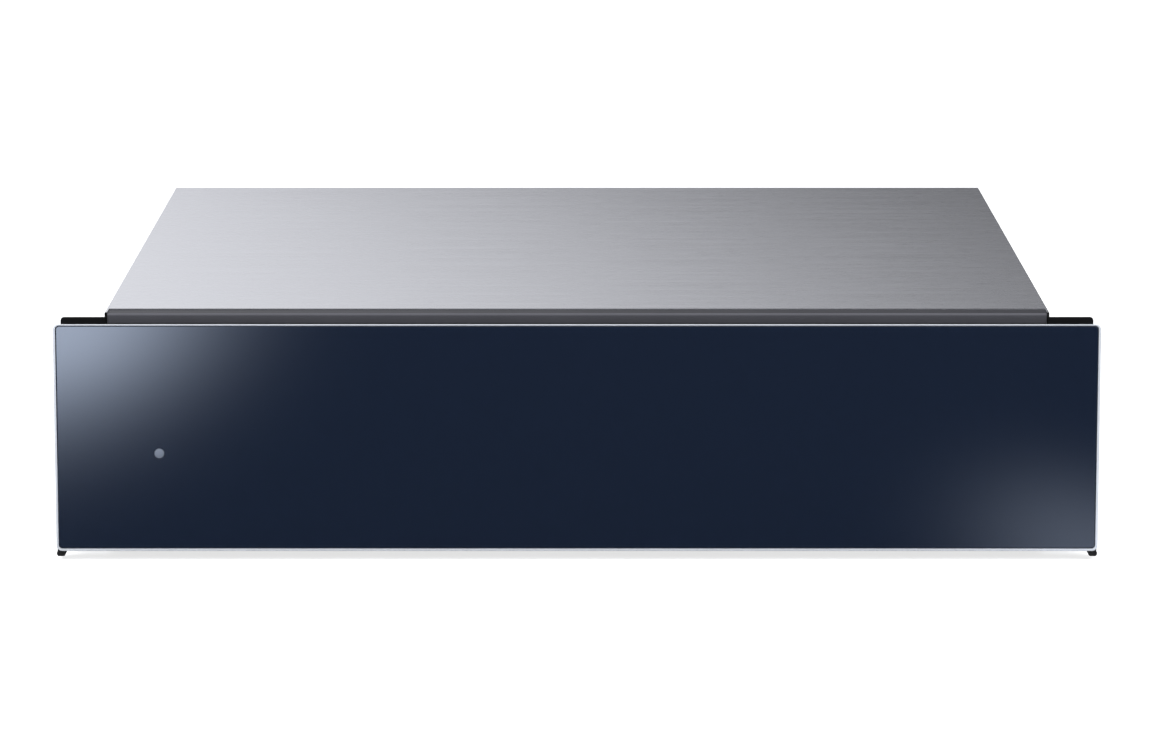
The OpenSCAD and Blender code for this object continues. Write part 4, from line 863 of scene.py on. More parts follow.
class WarmingDrawerSettings(bpy.types.PropertyGroup):
    """Sizes and colours of the visible pieces."""
    glass_color: bpy.props.FloatVectorProperty(
        name="Glass Colour", description="Enamel behind the glass front", subtype="COLOR", size=4,
        min=0, max=1, default=srgb("#192233"))
    glass_roughness: bpy.props.FloatProperty(
        name="Glass Roughness", description="Blur of the reflections in the glass", default=0.06,
        min=0, max=1, subtype="FACTOR")
    glass_bevel: bpy.props.FloatProperty(
        name="Glass Bevel", description="Width of the polished border of the glass",
        default=0.0006, min=0.0004, max=0.006, unit="LENGTH")
    rim_color: bpy.props.FloatVectorProperty(
        name="Rim Colour", description="Anodised rim round the glass", subtype="COLOR", size=4,
        min=0, max=1, default=srgb("#e4e8ef"))
    rim_roughness: bpy.props.FloatProperty(
        name="Rim Roughness", description="Blur of the reflections in the rim", default=0.42,
        min=0, max=1, subtype="FACTOR")
    steel_color: bpy.props.FloatVectorProperty(
        name="Steel Colour", description="Stainless steel of the lid and the drawer",
        subtype="COLOR", size=4, min=0, max=1, default=srgb("#c6c7cc"))
    lid_roughness: bpy.props.FloatProperty(
        name="Lid Roughness", description="Blur of the reflections in the brushed lid",
        default=0.28, min=0, max=1, subtype="FACTOR")
    zinc_color: bpy.props.FloatVectorProperty(
        name="Zinc Colour", description="Galvanised sheets of the casing", subtype="COLOR", size=4,
        min=0, max=1, default=srgb("#b7bbc0"))
    rail_color: bpy.props.FloatVectorProperty(
        name="Rail Colour", description="Powder coat of the front rail", subtype="COLOR", size=4,
        min=0, max=1, default=srgb("#6e6e74"))
    plastic_color: bpy.props.FloatVectorProperty(
        name="Plastic Colour", description="Black moulded housings", subtype="COLOR", size=4,
        min=0, max=1, default=srgb("#1d1d20"))
    lens_color: bpy.props.FloatVectorProperty(
        name="Lens Colour", description="Indicator lens in the glass", subtype="COLOR", size=4,
        min=0, max=1, default=srgb("#747d8d"))
    stud_pitch: bpy.props.FloatProperty(
        name="Stud Pitch", description="Distance between the studs on the mat", default=0.0095,
        min=0.005, max=0.03, unit="LENGTH")
    stud_radius: bpy.props.FloatProperty(
        name="Stud Radius", description="Radius of a stud on the mat", default=0.0017,
        min=0.0005, max=0.004, unit="LENGTH")
    grips: bpy.props.IntProperty(
        name="Knob Grips", description="Number of grip flutes round the knob", default=14,
        min=6, max=40)
    blades: bpy.props.IntProperty(
        name="Fan Blades", description="Number of blades of the fan wheel", default=12,
        min=6, max=24)
    sheets: bpy.props.IntProperty(
        name="Core Sheets", description="Number of steel sheets in the motor's core", default=20,
        min=8, max=40)
    turns: bpy.props.IntProperty(
        name="Coil Turns", description="Visible turns of the motor's winding", default=22,
        min=8, max=40)
    key_power: bpy.props.FloatProperty(
        name="Key Light", description="Power of the large light above on the left", default=60.0,
        min=0, max=1000)
    fill_power: bpy.props.FloatProperty(
        name="Fill Light", description="Power of the light on the right", default=26.0, min=0,
        max=1000)
    room_light: bpy.props.FloatProperty(
        name="Room Light", description="Even light from all around", default=0.45, min=0, max=2)


# ---------------------------------------------------------------- front

def front_ring(inset, y, radius, lip=True):
    """The front's outline at one depth, inset from the rim's outside and a touch less tall.

    With lip, the inset of RIM_LIP and what lies behind it follow the lip's three widths."""
    low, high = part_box("front_rim")

    def reach(wide):
        if not lip:
            return inset
        return inset * wide / RIM_LIP if inset < RIM_LIP else inset + wide - RIM_LIP

    side, top, bottom = [reach(wide) for wide in LIP_WIDTHS]
    outline = rounded_outline((low.x + side, low.z + bottom),
                              (high.x - side, high.z - TOP_GAP - top), radius, 8)
    return [(x, y, z) for x, z in outline]


def glass_mesh(s):
    """A polished plate with a shallow bevelled border, a pencil edge and the indicator's hole."""
    low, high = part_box("front_glass")
    thick = (high.y - low.y) / MM
    x, _, z = centre_of("indicator_lens")
    corner, least_corner, hole_r, play = 2.0, 0.6, 3.0, 0.1
    # (inset, depth) in mm from the face backwards, of the plate's edge and of the hole's
    edge = ((s.glass_bevel / MM, 0), (0.35, 0.05), (0.2, 0.14), (0.07, 0.3), (0, 0.55),
            (0, thick - 0.5), (0.5, thick))
    bore = ((0.25, 0), (0, 0.25), (0, thick - 0.2), (0.2, thick))
    mesh = bmesh.new()
    rings = skin(mesh, [front_ring(RIM_LIP + (play + i) * MM, low.y + d * MM,
                                   max(corner - i * 0.5, least_corner) * MM)
                        for i, d in edge], smooth=True)
    holes = skin(mesh, [[(px, low.y + d * MM, pz)
                         for px, pz in circle_points((x, z), (hole_r + i) * MM, 48)]
                        for i, d in bore], smooth=True)
    fill(mesh, [rings[0], holes[0]], (0, -1, 0))
    fill(mesh, [rings[-1], holes[-1]], (0, 1, 0))
    bmesh.ops.recalc_face_normals(mesh, faces=mesh.faces)
    return mesh


def rim_mesh():
    """The rim's extruded section, with rounded edges and tapered backwards, round the outline."""
    low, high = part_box("front_rim")
    deep = (high.y - low.y) / MM
    seat = (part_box("front_glass")[1].y - low.y) / MM
    lip = RIM_LIP / MM
    # (inset, depth) in mm: round the lip's front, down its inside, out along the back and home
    section = ((0.28, 0), (lip - 0.14, 0), (lip - 0.04, 0.04), (lip, 0.14), (lip, seat),
               (3.8, seat), (3.8, deep), (1.3, deep), (1.05, deep - 0.12), (0.95, deep - 0.4),
               (0, 0.28), (0.04, 0.14), (0.14, 0.04))
    outer_corner, inner_corner = 3.1, 2.2
    return loft([front_ring(i * MM, low.y + d * MM,
                            (outer_corner - i if i <= lip else inner_corner) * MM,
                            i <= lip and d <= seat) for i, d in section], closed=True)


def lens_mesh():
    """A domed light guide with its collar behind the glass."""
    low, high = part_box("indicator_lens")
    x, _, z = centre_of("indicator_lens")
    collar, deep = (high.x - low.x) / 2 / MM, (high.y - low.y) / MM
    r = collar - 1.6
    bulge = 0.55
    dome = [(0.2 + (r - 0.3) * math.sin(math.radians(9 * i)),
             bulge * (1 - math.cos(math.radians(9 * i)))) for i in range(10)]
    profile = dome + [(r, 0.9), (r, deep - 1), (collar - 0.2, deep - 1), (collar, deep - 0.8),
                      (collar, deep - 0.2), (collar - 0.2, deep)]
    return revolved(profile, (x, low.y, z), 1, 40)


class WD_OT_front(bpy.types.Operator):
    """Glass front, its rim and indicator, the carrier behind them and its screws"""
    bl_idname = "warming_drawer.front"
    bl_label = "Front Panel"

    def execute(self, context):
        s = context.scene.warming_drawer
        make_piece("glass_panel", glass_mesh(s), "enamelled_glass", "front_glass", True)
        make_piece("rim_profile", rim_mesh(), "anodised_aluminium", "front_rim")
        make_piece("indicator_dome", lens_mesh(), "frosted_polycarbonate", "indicator_lens")
        soften("front_carrier", "moulded_pbt_black", 0.3)
        soften("corner_buffers", "moulded_rubber", 0.7, 3, 1.0)
        soften("indicator_board", "solder_mask", 0.1)
        lumpy_slab("front_wool", "front_insulation", 2.6, 0.45)
        screws("front_screw_heads", "front_screws", 8.0)
        return {"FINISHED"}


# ---------------------------------------------------------------- shared shapes

def screw_shape(shank):
    """A pan-head screw along z, seated at z 0, with a cross recess and a rolled thread, in mm."""
    head_r, head_h, shank_r, root_r = 3.2, HEAD_HEIGHT / MM, 1.5, 1.2
    head = [(head_r - 0.1, 0.0), (head_r, 0.12), (head_r, 0.45 * head_h),
            (0.95 * head_r, 0.7 * head_h), (0.82 * head_r, 0.9 * head_h),
            (0.62 * head_r, head_h)]
    thread = []
    z = -0.3
    while z > -shank + 0.8:
        thread += [(root_r, z), (shank_r, z - 0.3)]
        z -= 0.6
    profile = [(shank_r * 0.35, -shank)] + thread[::-1] + [(root_r, 0.0)] + head
    mesh = revolved(profile, (0, 0, 0), 2, 16, cap_end=False)
    rim = sorted((v for v in mesh.verts if v.co.z > head_h * MM - 1e-7),
                 key=lambda v: math.atan2(v.co.y, v.co.x))
    arm, half = 0.44 * head_r * MM, 0.11 * head_r * MM
    cross = [(arm, -half), (arm, half), (half, half), (half, arm), (-half, arm), (-half, half),
             (-arm, half), (-arm, -half), (-half, -half), (-half, -arm), (half, -arm),
             (half, -half)]
    mouth, floor = skin(mesh, [[(x * share, y * share, height * head_h * MM)
                                for x, y in cross] for share, height in ((1, 1), (0.7, 0.4))])
    fill(mesh, [rim, mouth], (0, 0, 1))
    mesh.faces.new(floor)
    bmesh.ops.recalc_face_normals(mesh, faces=mesh.faces)
    return mesh


def screws(name, node, shank):
    """Puts a detailed screw at each screw of a CAD node, its head facing the way the CAD's does.

    Heads face out at the sides, and backwards elsewhere."""
    solids, mesh = islands(node)
    mesh.free()
    middle = (CAD_BOX[0].x + CAD_BOX[1].x) / 2
    places = []
    for low, high, _ in solids:
        size = high - low
        axis = max(range(3), key=lambda i: abs(size[i] - sorted(size)[1]))
        seat = (low + high) / 2
        away = Vector((0, 0, 0))
        if axis == 0:
            away.x = 1.0 if seat.x > middle else -1.0
        else:
            away.y = 1.0
        seat[axis] = high[axis] - HEAD_HEIGHT if away[axis] > 0 else low[axis] + HEAD_HEIGHT
        places.append((seat, away))
    data = repeat(name, points_tree, "Copied Object", screw_shape(shank),
                  {"Finish": finish("bright_zinc_plate")}, points_mesh(name + "_places", places))
    finish_piece(name, data, None, node)


def lumpy_slab(name, node, voxel, swell):
    """Wool in place of a CAD slab: its faces are hollowed unevenly, inside the slab's space."""
    slab = link_object(name + "_slab", mesh_data(name + "_slab", cad_copy(node)))
    remesh = slab.modifiers.new("Even grid", "REMESH")
    remesh.mode = "VOXEL"
    remesh.voxel_size = voxel * MM
    graph = bpy.context.evaluated_depsgraph_get()
    even = bpy.data.meshes.new_from_object(slab.evaluated_get(graph))
    bpy.data.objects.remove(slab)
    normals = [v.normal.copy() for v in even.vertices]
    low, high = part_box(node)
    # swells about 45 and 16 mm wide, and tufts of 5 mm
    for v, n in zip(even.vertices, normals):
        broad = noise.noise(v.co * 22.0) + 0.5 * noise.noise(v.co * 61.0)
        tufts = noise.noise(v.co * 210.0)
        moved = v.co - n * swell * MM * (1.0 + 0.6 * broad + 0.4 * tufts)
        v.co = [min(max(moved[i], low[i]), high[i]) for i in range(3)]
    finish_piece(name, even, "stone_wool", node)


def combined(name, lots):
    """One mesh from (mesh, material's name) pairs, each lot of faces with its own material."""
    whole = bmesh.new()
    for i, (data, _) in enumerate(lots):
        first = len(whole.faces)
        whole.from_mesh(data)
        whole.faces.ensure_lookup_table()
        for face in whole.faces[first:]:
            face.material_index = i
    made = mesh_data(name, whole)
    paint(made, *[finish(material) for _, material in lots])
    return made


# ---------------------------------------------------------------- casing

class WD_OT_casing(bpy.types.Operator):
    """Lid, side panels, back, floor, front rail and sill, mounting flanges, seals and tray"""
    bl_idname = "warming_drawer.casing"
    bl_label = "Casing"

    def execute(self, context):
        # the folds along the lid's sides and the rail's front are wider than their other edges
        cover = round_edges(bend(cad_copy("top_cover"), "top_cover", 0, 0.6), 0.28, 3)
        lid = make_piece("top_cover_finished", cover, "brushed_stainless_lid", "top_cover")
        # painted shade: the lid's front edge is painted black, standing in for the shadow there
        shade_front_edges(lid, 0.35)
        # painted shade: the side panels' front edges are painted black, standing in for the shadow
        # there
        for node in ("side_panel_left", "side_panel_right"):
            shade_front_edges(soften(node, "hot_dip_galvanised", 0.22), 1.2)
        for node in ("rear_panel", "base_plate", "ceiling_tray"):
            soften(node, "hot_dip_galvanised", 0.22)
        rail = round_edges(bend(cad_copy("front_rail"), "front_rail", 1, 1.3), 0.25, 3)
        make_piece("front_rail_finished", rail, "grey_powder_coat", "front_rail")
        soften("front_sill", "grey_powder_coat", 0.25, 3)
        for node in ("side_flange_left", "side_flange_right"):
            soften(node, "black_powder_coat", 0.35, 3, 0.2)
        soften("front_seals", "moulded_rubber", 0.4)
        lumpy_slab("ceiling_wool", "insulation_mat", 5.0, 0.7)
        return {"FINISHED"}


class WD_OT_fasteners(bpy.types.Operator):
    """Screws of the casing and of the slides, and the four feet"""
    bl_idname = "warming_drawer.fasteners"
    bl_label = "Screws and Feet"

    def execute(self, context):
        screws("casing_screw_heads", "casing_screws", 6.0)
        screws("slide_screw_heads", "slide_screws", 1.9)
        soften("rubber_feet", "moulded_rubber", 0)
        return {"FINISHED"}


class WD_OT_mains_and_latch(bpy.types.Operator):
    """Terminal box and block, the mains gland, and the push latch with its rubber pad"""
    bl_idname = "warming_drawer.mains_and_latch"
    bl_label = "Mains Entry and Latch"

    def execute(self, context):
        soften("terminal_box", "moulded_pbt_black", 0.5, 3)
        soften("mains_gland", "moulded_pbt_black", 0)
        soften("terminal_block", "ivory_pbt", 0.3, 2, 2.5)
        soften("latch_housing", "moulded_pbt_black", 0.4)
        soften("latch_plunger", "ivory_pbt", 0)
        dress("spring_steel", "latch_spring")
        soften("striker_pad", "moulded_rubber", 0.7, 3)
        return {"FINISHED"}


# ---------------------------------------------------------------- slides

def caged_balls(node):
    """Pressed retainer strips with a polished ball in each pocket."""
    name = node + "_finished"
    largest_ball = 5 * MM
    solids, mesh = islands(node)
    balls, gone = [], []
    for low, high, verts in solids:
        if max(high - low) < largest_ball:
            balls.append(((low + high) / 2, (0, 0, 1)))
            gone += verts
            radius = max(high - low) / 2
    bmesh.ops.delete(mesh, geom=gone, context="VERTS")
    strips = mesh_data(name + "_strips", flatten(mesh))
    ball = bmesh.new()
    bmesh.ops.create_icosphere(ball, subdivisions=3, radius=radius)
    data = repeat(name, points_tree, "Copied Object", ball, {"Finish": finish("spring_steel")},
                  points_mesh(name + "_places", balls))
    both = combined(name, [(data, "spring_steel"), (strips, "bright_zinc_plate")])
    finish_piece(name, both, None, node)


class WD_OT_slides(bpy.types.Operator):
    """The three members of each telescopic slide, and the caged balls between them"""
    bl_idname = "warming_drawer.slides"
    bl_label = "Slides"

    def execute(self, context):
        for member in ("outer", "middle", "inner"):
            for side in ("left", "right"):
                soften(f"slide_{member}_{side}", "bright_zinc_plate", 0.3, 3)
        for place in ("outer", "inner"):
            caged_balls("ball_cages_" + place)
        return {"FINISHED"}


# ---------------------------------------------------------------- drawer

class WD_OT_drawer_box(bpy.types.Operator):
    """Tub, end walls, perforated air baffle and the studded mat"""
    bl_idname = "warming_drawer.drawer_box"
    bl_label = "Drawer Box"

    def execute(self, context):
        s = context.scene.warming_drawer
        soften("drawer_tub", "satin_stainless", 0.25)
        soften("drawer_front_wall", "satin_stainless", 0.2)
        soften("air_baffle", "satin_stainless", 0.2)
        soften("drawer_rear_wall", "hot_dip_galvanised", 0.2)
        mat = round_edges(cad_copy("anti_slip_mat"), 0.25)
        low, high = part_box("anti_slip_mat")
        x, y, _ = centre_of("anti_slip_mat")
        studded_width, margin = 456 * MM, 9 * MM
        columns = int(round(studded_width / s.stud_pitch))
        rows = int((high.y - low.y - 2 * margin) / s.stud_pitch)
        tree, ids = field_tree()
        mat.from_mesh(grow("studs", tree, ids, {
            "Centre": (x, y, high.z - 0.1 * MM), "Width": (columns - 1) * s.stud_pitch,
            "Length": (rows - 1) * s.stud_pitch, "Columns": columns, "Rows": rows,
            "Stud Radius": s.stud_radius, "Stud Height": 0.5 * MM,
            "Finish": finish("mat_rubber")}))
        make_piece("studded_mat", mat, "mat_rubber", "anti_slip_mat")
        return {"FINISHED"}


# ---------------------------------------------------------------- controls

def knob_mesh(s):
    """A fluted dial knob with a thin skirt, a dished top and a bore for its shaft."""
    low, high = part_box("thermostat_knob")
    shaft_low, shaft_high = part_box("thermostat_shaft")
    x, y, _ = centre_of("thermostat_knob")
    tall, wide = (high.z - low.z) / MM, (high.x - low.x) / 2 / MM
    bore = (shaft_high.x - shaft_low.x) / 2 / MM + 0.05
    deep = (shaft_high.z - low.z) / MM + 0.2
    # (radius, height, depth of the flutes): up the bore, round the skirt, up the grip, the dish
    profile = [(0.4, deep), (bore, deep), (bore, 0.2), (bore + 0.2, 0), (wide - 1.2, 0),
               (wide - 0.3, 0.12), (wide, 0.45), (wide, 1.5), (wide - 0.15, 1.85),
               (wide - 0.6, 2.1), (wide - 1.0, 2.5, 0.3), (wide - 1.25, 3.3, 0.95),
               (wide - 1.5, 5.5, 0.95), (wide - 1.95, tall - 1.3, 0.95),
               (wide - 2.15, tall - 0.65, 0.8), (wide - 2.6, tall - 0.2, 0.4),
               (wide - 3.2, tall, 0.1), (wide - 3.9, tall), (wide - 4.6, tall - 0.12),
               (6.0, tall - 0.35), (0.4, tall - 0.45)]
    return revolved(profile, (x, y, low.z), 2, s.grips * 10,
                    flute=lambda a: (0.5 + 0.5 * math.cos(s.grips * a)) ** 2)


def pointer_mesh():
    """A thin painted bar let into the knob's top, at the dial's first mark."""
    x, y, _ = centre_of("thermostat_knob")
    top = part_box("thermostat_knob")[1].z
    inner_end, outer_end, half_width, sunk, under = 4.6, 11.0, 0.55, 0.75, 0.05
    bar = rolled_box((inner_end * MM, -half_width * MM, top - sunk * MM),
                     (outer_end * MM, half_width * MM, top - under * MM), 0.15)
    first_mark = Matrix.Rotation(math.radians(225), 4, "Z")
    bmesh.ops.transform(bar, matrix=Matrix.Translation((x, y, 0)) @ first_mark, verts=bar.verts)
    return bar


def button_mesh():
    """A push button with soft corners and a round finger hollow."""
    low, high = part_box("power_button")
    x, y, _ = centre_of("power_button")
    tall = (high.z - low.z) / MM
    corner, hollow_r = 2.2, 5.5
    # (inset, height) in mm up the walls, then (growth, depth) down the hollow
    walls = ((0.5, 0), (0, 0.5), (0, tall - 1.1), (0.12, tall - 0.6), (0.4, tall - 0.2),
             (0.9, tall))
    dish = ((0.3, 0), (0, 0.08), (-1.2, 0.28), (-3.0, 0.44), (-5.2, 0.5))
    mesh = bmesh.new()
    rings = skin(mesh, [[(px, py, low.z + up * MM) for px, py in rounded_outline(
        (low.x + i * MM, low.y + i * MM), (high.x - i * MM, high.y - i * MM),
        (corner - i) * MM)] for i, up in walls])
    bowls = skin(mesh, [[(px, py, high.z - down * MM) for px, py in circle_points(
        (x, y), (hollow_r + i) * MM, 36)] for i, down in dish])
    mesh.faces.new(rings[0])
    mesh.faces.new(bowls[-1])
    fill(mesh, [rings[-1], bowls[0]], (0, 0, 1))
    bmesh.ops.recalc_face_normals(mesh, faces=mesh.faces)
    return mesh


class WD_OT_controls(bpy.types.Operator):
    """Control housing with its marked plate, the dial knob, the power button and the wiring"""
    bl_idname = "warming_drawer.controls"
    bl_label = "Controls"

    def execute(self, context):
        s = context.scene.warming_drawer
        soften("control_housing", "moulded_pbt_black", 0.7, 3, 4.0)
        soften("control_fascia", "printed_aluminium", 0.12)
        soften("power_switch", "moulded_pbt_black", 0.35, 3, 4.0)
        make_piece("push_button", button_mesh(), "silver_lacquer", "power_button")
        make_piece("dial_knob", knob_mesh(s), "moulded_pbt_black", "thermostat_knob")
        make_piece("dial_pointer", pointer_mesh(), "marking_paint", "thermostat_knob")
        dress("bright_zinc_plate", "thermostat", "thermostat_shaft")
        soften("wiring_duct", "moulded_pbt_black", 0.4, 3)
        dress("silicone_sleeve", "duct_leads")
        return {"FINISHED"}


# ---------------------------------------------------------------- heating and fan

def fan_mesh(s):
    """A pressed fan wheel: back disc with a domed hub, forward-curved blades and a front ring."""
    low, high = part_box("fan_wheel")
    x, _, z = centre_of("fan_wheel")
    centre = (x, low.y, z)
    deep, r = (high.y - low.y) / MM, (high.x - low.x) / 2 / MM
    inner, bore = r * 0.56, 2.55
    disc = [(bore, 8), (5.6, 8), (6.7, 8.5), (7, 9.5), (7, deep - 2.6), (8.6, deep - 1.3),
            (r - 0.3, deep - 1.2), (r, deep - 0.9), (r, deep - 0.1), (r - 0.1, deep),
            (bore, deep), (bore, 8)]
    ring = [(inner + 0.2, 0), (r - 0.2, 0), (r, 0.2), (r, 0.8), (r - 0.2, 1), (inner + 0.2, 1),
            (inner, 0.8), (inner, 0.2), (inner + 0.2, 0)]
    turned = [revolved(profile, centre, 1, 64, cap_start=False, cap_end=False)
              for profile in (disc, ring)]
    for mesh in turned:
        bmesh.ops.remove_doubles(mesh, verts=mesh.verts, dist=0.001 * MM)
        bmesh.ops.recalc_face_normals(mesh, faces=mesh.faces)
    # a blade's line from the ring's inside to near its outside bows by 3.4 mm
    steps, bow, tip, half = 6, 3.4, r - 0.6, 0.4
    front, back = 0.6, deep - 0.9
    line = [(inner + (tip - inner) * i / steps, bow * math.sin(math.pi * i / steps))
            for i in range(steps + 1)]
    blade = loft([[Vector((bx, by, bz + side)) * MM for by, side in (
        (front, -half), (back, -half), (back, half), (front, half))] for bx, bz in line],
        cap_start=True, cap_end=True)
    blades = repeat("blades", spokes_tree, "Blade", blade, {
        "Count": s.blades, "Centre": centre, "Finish": finish("satin_stainless")})
    whole = joined(turned)
    whole.from_mesh(blades)
    return whole


def core_data(s):
    """The motor's core as punched sheets with thin seams between them."""
    low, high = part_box("motor_core")
    middle = centre_of("motor_core")[1]
    pitch = (high.y - low.y) / s.sheets
    thick = pitch * 0.9
    # the last sheet ends near the core's end
    step = pitch * 1.004
    sheet = cad_copy("motor_core")
    for v in sheet.verts:
        v.co.y = low.y if v.co.y < middle else low.y + thick
    return repeat("laminated_core", stack_tree, "Sheet", sheet, {
        "Count": s.sheets, "Step": (0, step, 0), "Finish": finish("lamination_steel")})


def coil_data(s):
    """A winding of round wire between two thin ends, over a solid middle."""
    low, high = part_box("motor_coil")
    core_low, core_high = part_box("motor_core")
    middle = Vector((0, *centre_of("motor_coil")[1:]))
    end_thick, end_gap, core_gap, leg_height, sides = 1.2 * MM, 0.05 * MM, 0.5 * MM, 8 * MM, 8
    x0, x1 = low.x + end_thick, high.x - end_thick
    wire = (high.x - low.x - 2 * end_thick) / s.turns / 2

    def loop(inset, x):
        return [(x, y, z) for y, z in rounded_outline(
            (low.y + inset, low.z + inset), (high.y - inset, high.z - inset), 3.5 * MM, 4)]

    def bore(x):
        return [(x, y, z) for y, z in rounded_outline(
            (core_low.y - core_gap, core_high.z - leg_height - core_gap),
            (core_high.y + core_gap, core_high.z + core_gap), 0.2 * MM, 4)]

    def tube(inset, a, b):
        return loft([bore(a), loop(inset, a), loop(inset, b), bore(b)], closed=True)

    across = Vector((1, 0, 0))
    path = [Vector(p) for p in loop(wire, 0.0)]
    rings = []
    for i, p in enumerate(path):
        along = (path[(i + 1) % len(path)] - path[i - 1]).normalized()
        out = across.cross(along).normalized()
        if out.dot(p - middle) < 0:
            out.negate()
        rings.append([p + wire * (math.cos(a) * out + math.sin(a) * across)
                      for a in [2 * math.pi * k / sides for k in range(sides)]])
    wound = repeat("wound", stack_tree, "Sheet", loft(rings, closed=True), {
        "Count": s.turns, "Step": (2 * wire, 0, 0), "Finish": finish("enamelled_copper")})
    wound.transform(Matrix.Translation((x0 + wire, 0, 0)))
    middle_part = tube(wire, x0, x1)
    middle_part.from_mesh(wound)
    ends = joined([tube(0, low.x, x0 - end_gap), tube(0, x1 + end_gap, high.x)])
    return combined("motor_winding", [(mesh_data("wire", middle_part), "enamelled_copper"),
                                      (mesh_data("ends", ends), "ivory_pbt")])


class WD_OT_heating(bpy.types.Operator):
    """Heater loop, fan wheel, shaded-pole motor, cut-out and temperature probe"""
    bl_idname = "warming_drawer.heating"
    bl_label = "Heating and Fan"

    def execute(self, context):
        s = context.scene.warming_drawer
        dress("oxidised_sheath", "heater_element")
        dress("capillary_copper", "temperature_probe")
        soften("overheat_cutout", "ivory_pbt", 0.25, 2, 2.0)
        soften("motor_brackets", "bright_zinc_plate", 0.3)
        dress("spring_steel", "motor_rotor")
        make_piece("fan_wheel_finished", fan_mesh(s), "satin_stainless", "fan_wheel")
        finish_piece("laminated_core", core_data(s), None, "motor_core")
        finish_piece("motor_winding", coil_data(s), None, "motor_coil")
        return {"FINISHED"}


# ---------------------------------------------------------------- studio

def soft_lamp(name, place, target, size, power, tint):
    """A large rectangular lamp that shines at a point and doesn't show in gloss."""
    data = bpy.data.lights.new(name, "AREA")
    data.shape = "RECTANGLE"
    data.size, data.size_y = size
    data.energy = power
    data.color = tint
    lamp = link_object(name, data)
    lamp.location = place
    lamp.rotation_euler = (Vector(target) - lamp.location).to_track_quat("-Z", "Y").to_euler()
    lamp.visible_glossy = False


def stage_sheet(name, corners, material):
    """One flat sheet of the studio, which isn't part of the object."""
    data = bpy.data.meshes.new(name)
    data.from_pydata(corners, [], [(0, 1, 2, 3)])
    data.materials.append(material)
    sheet = link_object(name, data)
    return sheet


def reflector(name, corners, material):
    """A card that only shows in gloss, and neither lights nor shades anything else."""
    card = stage_sheet(name, corners, material)
    card.visible_camera = card.visible_diffuse = card.visible_transmission = False
    card.visible_volume_scatter = card.visible_shadow = False


def floor_paper():
    """White paper sweep: the camera sees it lifted to white, and it keeps the shadow.

    In reflections it is mid grey, and dark in front, where a black cloth lies for the glass."""
    made, add = empty_material("white_paper")
    ray = add("ShaderNodeLightPath").outputs
    place = add("ShaderNodeTexCoord").outputs["Object"]
    fibre = add("ShaderNodeTexNoise", Vector=place, Scale=40.0, Detail=2.0)
    tint = add("ShaderNodeMix", COLOR, at0=fibre, at6=srgb("#dedfe1"), at7=srgb("#e4e5e7"))
    paper = add("ShaderNodeBsdfDiffuse", Color=tint)
    lift = add("ShaderNodeEmission", Color=(0.74, 0.74, 0.74, 1.0),
               Strength=ray["Is Camera Ray"])
    seen = add("ShaderNodeAddShader", at0=paper, at1=lift)
    cloth = add("ShaderNodeMapping", {"vector_type": "TEXTURE"}, Vector=place,
                Location=(0.0, -1.0, 0.0), Scale=(0.75, 0.95, 1.0))
    off = add("ShaderNodeVectorMath", {"operation": "LENGTH"}, at0=cloth)
    grey = add("ShaderNodeMapRange", {"interpolation_type": "SMOOTHSTEP"}, Value=off,
               From_Min=0.75, From_Max=1.5, To_Min=0.012, To_Max=0.42)
    mirrored = add("ShaderNodeEmission", Color=(0.95, 0.97, 1.0, 1.0), Strength=grey)
    both = add("ShaderNodeMixShader", at0=ray["Is Glossy Ray"], at1=seen, at2=mirrored)
    add("ShaderNodeOutputMaterial", Surface=both)
    made.cycles.emission_sampling = "NONE"
    return made


def glow_card(name, spots, base, color):
    """A card whose glow fades from soft spots: (place, reach on each axis, strength)."""
    made, add = empty_material(name)
    place = add("ShaderNodeTexCoord").outputs["Object"]
    total = base
    for centre, reach, strength in spots:
        near = add("ShaderNodeMapping", {"vector_type": "TEXTURE"}, Vector=place,
                   Location=centre, Scale=reach)
        far = add("ShaderNodeVectorMath", {"operation": "DOT_PRODUCT"}, at0=near, at1=near)
        negative = add("ShaderNodeMath", MULTIPLY, at0=far, at1=-1.0)
        bell = add("ShaderNodeMath", {"operation": "EXPONENT"}, at0=negative)
        total = add("ShaderNodeMath", MULTIPLY_ADD, at0=bell, at1=strength, at2=total)
    glow = add("ShaderNodeEmission", Color=color, Strength=total)
    add("ShaderNodeOutputMaterial", Surface=glow)
    return made


def fading_card(name, stops, reach, lower_edge, color):
    """A card whose glow goes from left to right through stops of (x, strength).

    lower_edge is the height at x 0 where the glow starts, its rise to the right, and its
    softness."""
    made, add = empty_material(name)
    place = add("ShaderNodeTexCoord").outputs["Object"]
    split = add("ShaderNodeSeparateXYZ", Vector=place).outputs
    share = add("ShaderNodeMapRange", Value=split["X"], From_Min=-reach, From_Max=reach)
    ramp = add("ShaderNodeValToRGB", Fac=share)
    top = max(strength for _, strength in stops)
    set_stops(ramp, [((x + reach) / (2 * reach), (strength / top,) * 3 + (1.0,))
                     for x, strength in stops])
    height, rise, soft = lower_edge
    tilted = add("ShaderNodeMath", MULTIPLY_ADD, at0=split["X"], at1=-rise, at2=split["Z"])
    start = add("ShaderNodeMapRange", {"interpolation_type": "SMOOTHSTEP"}, Value=tilted,
                From_Min=height - soft, From_Max=height + soft, To_Min=0.02 * top, To_Max=top)
    level = add("ShaderNodeMath", MULTIPLY, at0=ramp, at1=start)
    glow = add("ShaderNodeEmission", Color=color, Strength=level)
    add("ShaderNodeOutputMaterial", Surface=glow)
    return made


